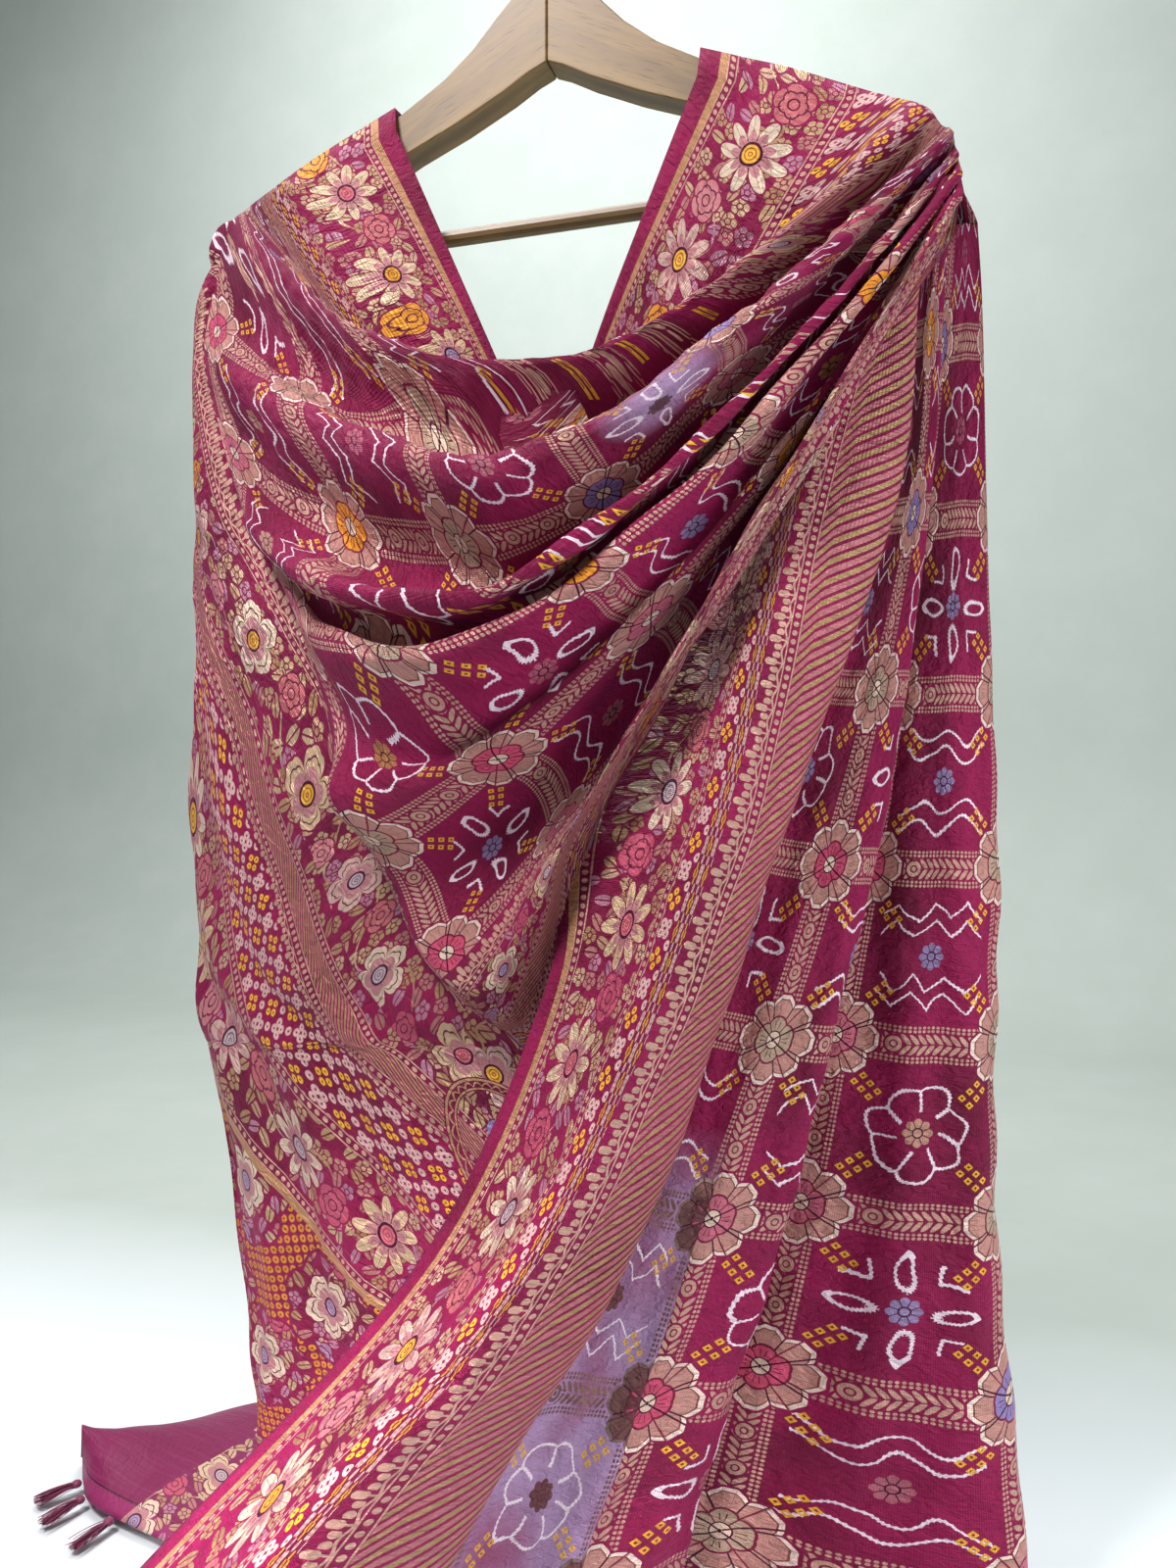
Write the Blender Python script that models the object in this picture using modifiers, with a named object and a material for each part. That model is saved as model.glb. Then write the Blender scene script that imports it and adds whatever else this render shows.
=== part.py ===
"""A long woven dupatta stole hung over a wooden clothes hanger.

Frame: metres, +Z up, the origin at the inside top of the hanger's hook, the hanger along X, its
front towards -Y. Tables are in millimetres. The cloth is one 1.3 m wide sheet worn like a shawl:
it swags between the two arms, its patterned end falls round the left arm, and its other half falls
from the right arm in long slanted folds. Each stretch is a wall lofted through its fold lines.
"""
import math

import bmesh
import bpy
import numpy as np
from mathutils import Vector

MM = 0.001

# hanger sizes
ARM_REACH = 228           # from the middle to the tip of an arm
ARM_THICK = 20            # front to back
ARM_SLOPE = 0.48          # drop for each millimetre outwards
ARM_TOP_AT = (96, -160)   # a point (x, z) on the straight top edge
TIP_RADIUS = 17
JOINT_GAP = 0.4           # glue line between the two arms
BAR_RADIUS = 5
BAR_Z = -238
BAR_HALF = 208
WIRE_RADIUS = 1.9         # hook
HOOK_RADIUS = 19          # to the wire's middle
STEM_FOOT_Z = -108

# cloth sizes
WALL = 1.6                # the cloth's wall
SEAM = 1.4                # clear space where two stretches meet in line
SIDE_SEAM = 2.3           # and where the swag meets the left fall at an angle
LINE_STEPS = 24           # steps along a fold line of the swag
FOLD_STEPS = 3            # steps from one fold line to the next
LEVEL_STEPS = 3           # steps from one level of a fall to the next

# The swag's fold lines from the neck edge down. Each hangs from a left point, through its lowest
# point, to a right point on the arm. sag_l and sag_r are the powers of the two halves, swell is how
# far the line bulges forwards at half way, and over is the height of its end above the arm's edge.
SWAG = (
    # name            left               low                right              sag_l sag_r swell over
    ("neck_edge",    (-98, -14, -172),  (12, -40, -404),   (93, -14, -172),   1.00, 0.92, 0, 6),
    ("neck_border",  (-150, -15, -192), (10, -50, -432),   (150, -16, -190),  0.90, 0.95, 4, 10),
    ("neck_valley",  (-182, -15, -204), (20, -58, -470),   (192, -16, -206),  1.20, 1.10, 0, 10),
    ("crest_1",      (-215, -15, -213), (36, -92, -357),   (217, -18, -214),  2.00, 1.55, 0, 11),
    ("valley_1",     (-228, -12, -246), (26, -84, -404),   (226, -16, -221),  1.80, 1.50, 0, 5),
    ("crest_2",      (-241, -10, -290), (16, -132, -422),  (233, -18, -229),  1.50, 1.50, 0, 6),
    ("valley_2",     (-224, -18, -345), (8, -112, -474),   (232, -20, -237),  1.70, 1.45, 0, 3),
    ("crest_3",      (-196, -32, -406), (2, -147, -489),   (236, -23, -244),  2.00, 1.50, 0, 3),
    ("valley_3",     (-170, -44, -440), (-8, -124, -504),  (232, -26, -251),  2.00, 1.50, 0, 2),
    ("crest_4",      (-140, -60, -482), (-16, -146, -516), (236, -31, -258),  2.00, 1.60, 0, 2),
    ("valley_4",     (-118, -70, -528), (-42, -122, -562), (231, -31, -265),  1.80, 1.65, 0, 2),
    ("low_fold",     (-96, -79, -588),  (-78, -112, -590), (235, -36, -272),  1.50, 1.75, 10, 2),
    ("low_valley",   (-70, -82, -634),  (-54, -98, -632),  (230, -36, -279),  1.30, 1.55, 6, 2),
    ("field_corner", (-43, -87, -678),  (-33, -94, -672),  (233, -42, -286),  1.20, 1.30, 14, 2),
)
# The swag's rolled low edge, whose lines are given point by point from the left to the right arm:
# above the crossing it lies over the right fall's selvedge, and below it is tucked behind.
LOW_EDGE = (
    # name            left             low              knee             crossing         rise             shoulder         right
    ("border_roll",  (-10, -94, -704), (4, -114, -692), (28, -122, -650), (47, -118, -607), (97, -105, -521), (146, -88, -434), (230, -50, -290)),
    ("border_under", (8, -86, -716),   (26, -92, -706), (42, -97, -652),  (49, -99, -608),  (95, -95, -522),  (143, -77, -436), (228, -43, -298)),
    ("low_selvedge", (18, -84, -728),  (44, -84, -722), (57, -82, -656),  (53, -88, -609),  (99, -87, -523),  (141, -69, -437), (235, -36, -292)),
)
LOW_EDGE_RISE = 2
TIP_LINE_Z = -225         # lines that end below this pass round the tip of the arm
FIRST_SIDE_LINE = 3       # crest_1: from here down the swag's left ends meet the left fall
NECK_LINES = 3            # lines of the neck piece, which ends in the hidden valley
SWAG_SPLIT = 5            # crest_2, where the front is divided in two

# The left outline of the left fall, and the depth of its back, level by level.
LEFT_OUTLINE = (
    # z     x      y    back_y
    (-205, -229,   4,   15),
    (-246, -249,   6,   24),
    (-312, -257,  10,   28),
    (-446, -260,  10,   36),
    (-614, -260,  10,   42),
    (-712, -253,   4,   44),
    (-787, -230,  -6,   44),
    (-853, -212, -14,   44),
    (-965, -189, -28,   42),
    (-1034, -178, -36,  38),
)
# The left fall's levels below the swag: its inner front edge, which other cloth hides.
LEFT_FALL_FOOT = (
    # x    y     z
    (40, -88, -790),
    (46, -80, -870),
    (40, -72, -950),
    (30, -66, -1032),
)
FRONT_Y = -86             # how far forwards the left fall's front lies below the swag
LEFT_BACK_INNER = -104    # x of the neck selvedge down the back
BACK_PLEATS = 3           # pleats in each hidden back
PLEAT_DEPTH = 13

# The right fall's fold lines: the same seven levels on each, from the arm down to the floor.
FALL_ABOVE = (
    # name           top               shoulder          upper             middle
    ("selvedge",   (186, -10, -272), (160, -13, -320), (106, -22, -432), (57, -90, -606)),
    ("flank",      (195, -12, -270), (174, -17, -320), (129, -31, -436), (86, -102, -606)),
    ("ridge",      (204, -24, -269), (187, -35, -320), (150, -64, -440), (120, -126, -608)),
    ("hatch",      (213, -22, -268), (202, -32, -318), (178, -58, -436), (143, -104, -612)),
    ("fold_1",     (222, -20, -268), (216, -25, -317), (205, -38, -430), (151, -76, -605)),
    ("under_1",    (216, -13, -270), (209, -17, -319), (194, -27, -432), (134, -58, -608)),
    ("valley_1",   (222, -9, -272),  (216, -12, -321), (202, -17, -434), (142, -40, -610)),
    ("middle",     (228, -12, -270), (223, -14, -320), (213, -17, -434), (174, -37, -610)),
    ("fold_2",     (233, -8, -268),  (229, -9, -318),  (221, -8, -434),  (196, -25, -610)),
    ("under_2",    (229, -2, -271),  (223, 0, -320),   (209, 4, -436),   (179, -5, -612)),
    ("valley_2",   (234, 2, -270),   (229, 6, -320),   (215, 13, -436),  (188, 8, -612)),
    ("back_field", (240, 6, -268),   (240, 8, -318),   (236, 10, -436),  (227, 5, -612)),
    ("outline",    (246, 12, -262),  (249, 15, -315),  (252, 18, -440),  (257, 20, -612)),
)
FALL_BELOW = (
    # name           lower             flare              hem
    ("selvedge",   (-2, -166, -796), (-96, -328, -922), (-140, -366, -1048)),
    ("flank",      (28, -182, -788), (-64, -338, -910), (-104, -384, -1047)),
    ("ridge",      (60, -214, -782), (-24, -346, -894), (-58, -398, -1046)),
    ("hatch",      (80, -184, -790), (6, -300, -906),   (-20, -346, -1047)),
    ("fold_1",     (92, -138, -795), (26, -234, -920),  (6, -270, -1048)),
    ("under_1",    (72, -112, -800), (16, -190, -930),  (-8, -218, -1050)),
    ("valley_1",   (76, -82, -805),  (34, -132, -930),  (4, -160, -1051)),
    ("middle",     (112, -70, -808), (72, -100, -932),  (34, -126, -1052)),
    ("fold_2",     (151, -41, -806), (114, -53, -934),  (76, -66, -1053)),
    ("under_2",    (133, -16, -810), (98, -25, -934),   (66, -33, -1054)),
    ("valley_2",   (148, 0, -812),   (117, -6, -936),   (88, -11, -1054)),
    ("back_field", (212, -2, -815),  (204, -9, -938),   (197, -15, -1055)),
    ("outline",    (258, 13, -818),  (266, 6, -940),    (275, -1, -1055)),
)
FALL_SPLITS = {"fall_border": (0, 5), "fall_middle": (5, 9), "fall_back": (9, None)}
RIGHT_BACK_TOP = ((241, -222), (104, -154))     # (x, z) of the back's top edge, outer then inner
RIGHT_BACK_Y = (12, 50)                         # its depth below the shoulder and at the hem
RIGHT_BACK_HEM = ((264, -1054), (96, -1048))
TIP_CLEAR = 5.5                                 # between an arm's tip and the cloth
TOP_Y = 5                                       # where a back's top edge meets the swag's on the arm

# The plain end of the stole, arched low over the floor behind the left fall: its hem with the
# tassels, and its far edge, from left to right.
END_HEM = ((-328, -20, -1050), (-302, -42, -1050), (-246, -56, -1051), (-186, -68, -1052), (-126, -74, -1053))
END_FAR = ((-350, 4, -1052), (-322, 44, -1052), (-272, 104, -1052), (-205, 136, -1052), (-130, 120, -1053))
END_ARCH = (30, 26, 15, 6, 3)     # height of the arch along it
END_STEPS = 12

# Tassels on the end's hem: where along it, and the way the strands point.
TASSELS = (
    # along  dx    dy
    (0.03, -0.58, -0.81),
    (0.18, -0.35, -0.94),
    (0.36, -0.30, -0.95),
)
KNOT_RADIUS = 3.6
STRANDS = 14
STRAND_RADIUS = 0.75
STRAND_LENGTH = 30

WINE = (0.216, 0.008, 0.058)
GOLD = (0.48, 0.31, 0.17)
WOOD = (0.33, 0.19, 0.075)
STEEL = (0.62, 0.62, 0.60)


# ---------------------------------------------------------------- helpers

def clear_scene():
    """Removes the objects that the file starts with."""
    for thing in list(bpy.data.objects):
        bpy.data.objects.remove(thing, do_unlink=True)


def collection(name):
    """A new collection in the scene."""
    made = bpy.data.collections.new(name)
    bpy.context.scene.collection.children.link(made)
    return made


def material(name, colour, roughness, metallic=0.0):
    """A Principled material with one colour."""
    made = bpy.data.materials.new(name)
    made.use_nodes = True
    shader = made.node_tree.nodes["Principled BSDF"]
    shader.inputs["Base Color"].default_value = (*colour, 1)
    shader.inputs["Roughness"].default_value = roughness
    shader.inputs["Metallic"].default_value = metallic
    return made


def place(name, mesh, finish, group):
    """An object of this mesh and finish, in a collection."""
    thing = bpy.data.objects.new(name, mesh)
    if finish:
        mesh.materials.clear()
        mesh.materials.append(finish)
    group.objects.link(thing)
    return thing


def smooth_through(points, steps):
    """A Catmull-Rom curve through points, with the same number of steps in every span."""
    p = np.asarray(points, float)
    p = np.concatenate([2 * p[:1] - p[1:2], p, 2 * p[-1:] - p[-2:-1]])
    t = np.arange(steps)[:, None] / steps
    t = t.reshape((steps,) + (1,) * (p.ndim - 1))
    spans = []
    for a, b, c, d in zip(p[:-3], p[1:-2], p[2:-1], p[3:]):
        spans.append(0.5 * (2 * b + (c - a) * t + (2 * a - 5 * b + 4 * c - d) * t**2
                            + (3 * b - a - 3 * c + d) * t**3))
    return np.concatenate(spans + [p[-2:-1]])


def even_steps(line, count):
    """The line again, with count equal steps along its length."""
    length = np.concatenate([[0], np.cumsum(np.linalg.norm(np.diff(line, axis=0), axis=1))])
    wanted = np.linspace(0, length[-1], count + 1)
    return np.stack([np.interp(wanted, length, line[:, k]) for k in range(3)], axis=1)


def draw_back(edge, inside, gap):
    """An edge of points moved a gap's width towards the row inside it."""
    way = inside - edge
    return edge + way * (gap / np.maximum(np.linalg.norm(way, axis=-1, keepdims=True), gap))


def stretch_of(surface, first, last):
    """The rows of a surface between two fold lines. It ends a step past each line, where the cloth
    is flat, and clear of the next stretch."""
    start = first * FOLD_STEPS + 1 if first else 0
    if last is None:
        return surface[start:]
    piece = surface[start:last * FOLD_STEPS + 2].copy()
    piece[-1] = draw_back(piece[-1], piece[-2], SEAM)
    return piece


def cloth_wall(name, grid, finish, group):
    """A grid of points in millimetres as a closed wall of cloth."""
    rows, columns = grid.shape[:2]
    shape = bmesh.new()
    points = [shape.verts.new(Vector(p) * MM) for p in grid.reshape(-1, 3)]
    for i in range(rows - 1):
        for j in range(columns - 1):
            a = i * columns + j
            shape.faces.new((points[a], points[a + columns], points[a + columns + 1], points[a + 1]))
    mesh = bpy.data.meshes.new(name)
    shape.to_mesh(mesh)
    shape.free()
    mesh.shade_smooth()
    thing = place(name, mesh, finish, group)
    wall = thing.modifiers.new("wall", "SOLIDIFY")
    wall.thickness = WALL * MM
    wall.offset = 0
    return thing


# ---------------------------------------------------------------- hanger

def arm_top(x):
    """Height of an arm's straight top edge at x."""
    return ARM_TOP_AT[1] - ARM_SLOPE * (abs(x) - ARM_TOP_AT[0])


def arm_outline():
    """The right arm's outline from the glue joint, over the shoulder, round the tip and back."""
    inner = JOINT_GAP / 2
    top = [(inner, -88), (9, -91), (20, -99), (33, -112), (48, -128), (68, -144), (96, -160)]
    tip_x, tip_z = ARM_REACH - TIP_RADIUS, arm_top(ARM_REACH - TIP_RADIUS) - TIP_RADIUS
    turns = [math.radians(a) for a in range(62, -119, -20)]
    tip = [(tip_x + TIP_RADIUS * math.cos(a), tip_z + TIP_RADIUS * math.sin(a)) for a in turns]
    bottom = [(160, -222), (120, -199), (89, -184), (56, -171), (26, -157), (10, -148), (inner, -144)]
    return top + tip + bottom


def drill(thing, name, start, end, radius, group):
    """Cuts a round hole through a mesh object, from start to end."""
    start, end = Vector(start) * MM, Vector(end) * MM
    shape = bmesh.new()
    bmesh.ops.create_cone(shape, cap_ends=True, segments=20, radius1=radius * MM, radius2=radius * MM,
                          depth=(end - start).length)
    mesh = bpy.data.meshes.new(name)
    shape.to_mesh(mesh)
    shape.free()
    cutter = place(name, mesh, None, group)
    cutter.matrix_world = (end - start).to_track_quat("Z", "Y").to_matrix().to_4x4()
    cutter.location = (start + end) / 2
    cutter.hide_render = True
    cutter.display_type = "WIRE"
    cut = thing.modifiers.new(name, "BOOLEAN")
    cut.object = cutter
    cut.operation = "DIFFERENCE"


def hanger_arm(side, wood, parts, cutters):
    """One carved arm, glued to the other at the middle, with the holes for the bar and the stem."""
    name = "hanger_arm_left" if side < 0 else "hanger_arm_right"
    curve = bpy.data.curves.new(name, "CURVE")
    curve.dimensions = "2D"
    curve.fill_mode = "BOTH"
    curve.extrude = ARM_THICK / 2 * MM
    outline = curve.splines.new("POLY")
    corners = arm_outline()
    outline.points.add(len(corners) - 1)
    outline.use_cyclic_u = True
    for point, (x, z) in zip(outline.points, corners):
        point.co = (side * x * MM, z * MM, 0, 1)
    flat = bpy.data.objects.new(name + "_outline", curve)
    parts.objects.link(flat)
    mesh = bpy.data.meshes.new_from_object(flat.evaluated_get(bpy.context.evaluated_depsgraph_get()))
    bpy.data.objects.remove(flat)
    shape = bmesh.new()
    shape.from_mesh(mesh)
    bmesh.ops.remove_doubles(shape, verts=shape.verts, dist=1e-5)
    bmesh.ops.rotate(shape, verts=shape.verts, matrix=upright_turn())
    bmesh.ops.recalc_face_normals(shape, faces=shape.faces)
    shape.to_mesh(mesh)
    shape.free()
    arm = place(name, mesh, wood, parts)
    edges = arm.modifiers.new("rounded", "BEVEL")
    edges.width = 5 * MM
    edges.segments = 3
    edges.limit_method = "ANGLE"
    edges.angle_limit = math.radians(60)
    inner = side * (BAR_HALF - 30)
    drill(arm, name + "_bar_hole", (inner, 0, BAR_Z), (side * (BAR_HALF + 1), 0, BAR_Z), BAR_RADIUS + 0.4, cutters)
    drill(arm, name + "_stem_hole", (0, 0, -60), (0, 0, STEM_FOOT_Z - 1), WIRE_RADIUS + 0.4, cutters)
    mesh.shade_smooth()
    mesh.set_sharp_from_angle(angle=math.radians(40))
    return arm


def upright_turn():
    """Turns a flat XY outline up into the XZ plane."""
    return Vector((0, 0, 1)).rotation_difference(Vector((0, -1, 0))).to_matrix()


def wire(name, points, radius, finish, group, resolution):
    """A round wire through points, in millimetres."""
    curve = bpy.data.curves.new(name, "CURVE")
    curve.dimensions = "3D"
    curve.bevel_depth = radius * MM
    curve.bevel_resolution = resolution
    curve.use_fill_caps = True
    line = curve.splines.new("POLY")
    line.points.add(len(points) - 1)
    for point, co in zip(line.points, points):
        point.co = (*(Vector(co) * MM), 1)
    thing = bpy.data.objects.new(name, curve)
    curve.materials.append(finish)
    group.objects.link(thing)
    return thing


def hanger_hook(steel, parts):
    """The steel hook: its stem stands in the joint, and the rod it hangs from touches its inside top."""
    middle_z = WIRE_RADIUS - HOOK_RADIUS
    stem = [(0, 0, STEM_FOOT_Z), (0, 0, -80), (0, 0, -58), (1, 0, -48), (6, 0, -39)]
    turns = [math.radians(a) for a in range(-40, 216, 15)]
    bend = [(HOOK_RADIUS * math.cos(a), 0, middle_z + HOOK_RADIUS * math.sin(a)) for a in turns]
    line = smooth_through(np.array(stem + bend[:1]), 3)
    return wire("hanger_hook", [tuple(p) for p in line] + bend[1:], WIRE_RADIUS, steel, parts, 2)


def hanger_bar(wood, parts):
    """The round trouser bar between the arms."""
    return wire("hanger_bar", [(-BAR_HALF, 0, BAR_Z), (BAR_HALF, 0, BAR_Z)], BAR_RADIUS, wood, parts, 4)


# ---------------------------------------------------------------- swag

def hang(left, low, right, sag_left, sag_right, swell):
    """A fold line from left to right through its lowest point, dense and uneven."""
    left, low, right = (np.array(p, float) for p in (left, low, right))
    halves = []
    for end, power, spread in ((left, sag_left, np.linspace(1, 0, 40)), (right, sag_right, np.linspace(0, 1, 40))):
        along = low[0] + (end[0] - low[0]) * spread
        rise = spread[:, None] ** power * (end[1:] - low[1:])[None, :]
        halves.append(np.column_stack([along, low[1:][None, :] + rise]))
    line = np.concatenate([halves[0][:-1], halves[1]])
    fraction = np.linspace(0, 1, len(line))
    line[:, 1] -= swell * np.sin(math.pi * fraction)
    return line


def over_the_arm(front, rise):
    """The end of a fold line where it turns up over an arm, or round its tip, to the top edge."""
    x, y, z = front
    outwards = 1 if x > 0 else -1
    past_tip = TIP_LINE_Z - z
    if past_tip > 0:
        reach, crest = 234 + 0.08 * past_tip, -224 - 0.42 * past_tip
    else:
        reach, crest = abs(x) + 2.5, arm_top(x) + rise
    return [((reach - 1) * outwards, -12, crest - 2), (reach * outwards, 1, crest)]


def swag_lines():
    """Every fold line of the swag as equal steps, from its left end to the right arm's top edge."""
    lines = []
    for k, (_, left, low, right, sag_left, sag_right, swell, rise) in enumerate(SWAG):
        line = hang(left, low, right, sag_left, sag_right, swell)
        if k < FIRST_SIDE_LINE:
            front = np.concatenate([over_the_arm(left, rise)[::-1], even_steps(line, LINE_STEPS)])
        else:
            front = even_steps(line, LINE_STEPS + 2)
        lines.append(np.concatenate([front, over_the_arm(right, rise)]))
    for _, *points in LOW_EDGE:
        front = even_steps(smooth_through(points, 8), LINE_STEPS + 2)
        lines.append(np.concatenate([front, over_the_arm(points[-1], LOW_EDGE_RISE)]))
    return np.array(lines)


def swag():
    """The swag's whole surface, from the neck edge to the low selvedge."""
    return smooth_through(swag_lines(), FOLD_STEPS)


# ---------------------------------------------------------------- falls

def outline_at(z):
    """The left fall's outline at a height: x, y and the depth of the back."""
    table = np.array(LEFT_OUTLINE[::-1], float)
    return [np.interp(z, table[:, 0], table[:, k]) for k in (1, 2, 3)]


def back_pleats(outer, inner, depth, amount):
    """Points across a hidden back, from its outer to its inner edge, pleated to and fro."""
    count = 2 * BACK_PLEATS
    points = []
    for k in range(1, count + 1):
        f = k / count
        swing = amount * (1 if k % 2 else -1) * (0.4 if k == count else 1)
        points.append((outer[0] + (inner[0] - outer[0]) * f, depth + swing, outer[1] + (inner[1] - outer[1]) * f))
    return points


def shoulder_row(seam):
    """The left fall's top edge: from the seam back over the arm, then along it to the neck."""
    start = (seam[0] - 1.4, seam[1] + 2.8)
    outer = (-188, TOP_Y)
    row = []
    for f in (0, 0.2, 0.4, 0.6, 0.8, 1):
        x = start[0] + (outer[0] - start[0]) * f
        row.append((x, start[1] + (outer[1] - start[1]) * f, arm_top(x) + 8))
    for px, py, _ in back_pleats((outer[0] + 4, 0), (LEFT_BACK_INNER, 0), TOP_Y, 0):
        row.append((px, py, arm_top(px) + 9))
    return row


def left_fall():
    """The left fall: levels from the arm to the hem, each from the hidden front edge round the
    outline to the selvedge down the back."""
    fronts = [line[1] for line in SWAG[FIRST_SIDE_LINE:] + LOW_EDGE] + list(LEFT_FALL_FOOT)
    corner_x, _, corner_z = SWAG[-1][1]
    levels = [shoulder_row(fronts[0])]
    for k, (x, y, z) in enumerate(fronts[1:], 1):
        settled = min(1, k / 4)
        drop = 0.06 * max(0, -z - 205) * min(1, (1034 + z) / 200 + 0.02)
        level_z = z - drop
        side_x, side_y, back_y = outline_at(level_z)
        front_y = max(y, FRONT_Y)
        front_x = min(x, corner_x + 0.74 * (corner_z - z)) if z < corner_z else x
        width = front_x - side_x
        turn = side_y - front_y
        row = [(x, y, z),
               (front_x - 0.3 * width, front_y + (0.1 + 0.15 * settled) * turn - 10 * settled, z - 0.35 * drop),
               (front_x - 0.66 * width, front_y + (0.3 + 0.25 * settled) * turn - 10 * settled, z - 0.7 * drop),
               (side_x + min(6 + 4 * settled, 0.15 * width), side_y - 6 - 6 * settled, level_z),
               (side_x, side_y, level_z),
               (side_x + 6 + 6 * settled, side_y + 6 + 8 * settled, level_z)]
        outer = (side_x + 12 + 10 * settled, level_z)
        for px, py, pz in back_pleats(outer, (LEFT_BACK_INNER, level_z), back_y, PLEAT_DEPTH * settled**1.5):
            top = arm_top(px) + 2
            row.append((px, py, top + (pz - top) * settled))
        levels.append(row)
    grid = smooth_through(smooth_through(np.array(levels), 2).swapaxes(0, 1), 2).swapaxes(0, 1)
    grid[:, 0] = draw_back(grid[:, 0], grid[:, 1], SIDE_SEAM)
    return clear_of_tips(grid)


def clear_of_tips(grid):
    """The grid with its points moved out of the arms' rounded tips."""
    tip_x, tip_z = ARM_REACH - TIP_RADIUS, arm_top(ARM_REACH - TIP_RADIUS) - TIP_RADIUS
    points = grid.reshape(-1, 3).copy()
    for p in points:
        tip = np.array([math.copysign(tip_x, p[0]), tip_z])
        away = p[::2] - tip
        reach = np.linalg.norm(away)
        if abs(p[1]) < ARM_THICK / 2 + 2 and reach < TIP_RADIUS + TIP_CLEAR:
            p[::2] = tip + away * (TIP_RADIUS + TIP_CLEAR) / reach
    return points.reshape(grid.shape)


def right_fall_lines():
    """The right fall's fold lines at their levels, the pleated back after the outline."""
    lines = [above[1:] + below[1:] for above, below in zip(FALL_ABOVE, FALL_BELOW)]
    outline = np.array(lines[-1], float)[:, 2]
    heights = (outline - outline[0]) / (outline[-1] - outline[0])
    heights[1] = 0.02
    backs = []
    for f in heights:
        outer, inner = (np.array(t) + (np.array(h) - np.array(t)) * f
                        for t, h in zip(RIGHT_BACK_TOP, RIGHT_BACK_HEM))
        depth = RIGHT_BACK_Y[0] + (RIGHT_BACK_Y[1] - RIGHT_BACK_Y[0]) * f**0.5
        backs.append(back_pleats(outer, inner, depth if f else TOP_Y, PLEAT_DEPTH * f**0.6))
    return np.concatenate([np.array(lines, float), np.array(backs, float).swapaxes(0, 1)])


def right_fall():
    """The right fall's whole surface, from its front selvedge round to the one down the back."""
    lines = right_fall_lines()
    long_way = smooth_through(lines.swapaxes(0, 1), LEVEL_STEPS).swapaxes(0, 1)
    return clear_of_tips(smooth_through(long_way, FOLD_STEPS))


def end_strip():
    """The plain end of the stole, from its hem over a low arch to its far edge."""
    hem, far = (smooth_through(edge, END_STEPS // 4) for edge in (END_HEM, END_FAR))
    arch = smooth_through(END_ARCH, END_STEPS // 4)
    rows = []
    for i in range(END_STEPS + 1):
        f = i / END_STEPS
        row = hem + (far - hem) * f
        row[:, 2] += arch * math.sin(math.pi * f**0.8)
        rows.append(row)
    return np.array(rows)


# ---------------------------------------------------------------- tassels

def tassel(name, along, dx, dy, silk, parts):
    """A knotted tassel: a round knot with its strands fanned out from it, all one body."""
    hem = smooth_through(END_HEM, 20)
    x, y, z = hem[round(along * (len(hem) - 1))]
    way = Vector((dx, dy, 0)).normalized()
    x, y = x + way.x * (KNOT_RADIUS + 2.2), y + way.y * (KNOT_RADIUS + 2.2)
    across = Vector((-way.y, way.x, 0))
    shape = bmesh.new()
    bmesh.ops.create_uvsphere(shape, u_segments=8, v_segments=6, radius=KNOT_RADIUS * MM)
    mesh = bpy.data.meshes.new(name)
    shape.to_mesh(mesh)
    shape.free()
    knot = place(name, mesh, silk, parts)
    knot.location = Vector((x, y, z)) * MM
    for k in range(STRANDS):
        turn = 2 * math.pi * k / STRANDS
        spread = across * math.cos(turn) + Vector((0, 0, 0.55)) * math.sin(turn)
        root = way * 1.5 + spread * 1.6
        mid = way * (STRAND_LENGTH * 0.5) + spread * 4.4
        tip = way * (STRAND_LENGTH * (1 - 0.08 * (k % 3))) + spread * 6.4
        line = np.array([root, mid, tip])
        one = strand_mesh(line, knot.location)
        join = knot.modifiers.new("strand", "BOOLEAN")
        join.operation = "UNION"
        join.object = place(f"{name}_strand_{k}", one, None, bpy.data.collections["guides"])
        join.object.hide_render = True
        join.object.display_type = "WIRE"
    return knot


def strand_mesh(line, origin):
    """A thin three-sided strand along a line of millimetre points about an origin in metres."""
    shape = bmesh.new()
    rings = []
    for k, p in enumerate(line):
        ahead = Vector(line[min(k + 1, len(line) - 1)] - line[max(k - 1, 0)]).normalized()
        side = ahead.cross(Vector((0, 0, 1))).normalized()
        lift = side.cross(ahead)
        radius = STRAND_RADIUS * (1 - 0.25 * k / (len(line) - 1))
        rings.append([shape.verts.new(origin + (Vector(p) + (side * math.cos(a) + lift * math.sin(a)) * radius) * MM)
                      for a in (0, 2 * math.pi / 3, 4 * math.pi / 3)])
    for a, b in zip(rings, rings[1:]):
        for k in range(3):
            shape.faces.new((a[k], a[(k + 1) % 3], b[(k + 1) % 3], b[k]))
    shape.faces.new(rings[0][::-1])
    shape.faces.new(rings[-1])
    bmesh.ops.recalc_face_normals(shape, faces=shape.faces)
    mesh = bpy.data.meshes.new("strand")
    shape.to_mesh(mesh)
    shape.free()
    return mesh


# ---------------------------------------------------------------- the part

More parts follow.
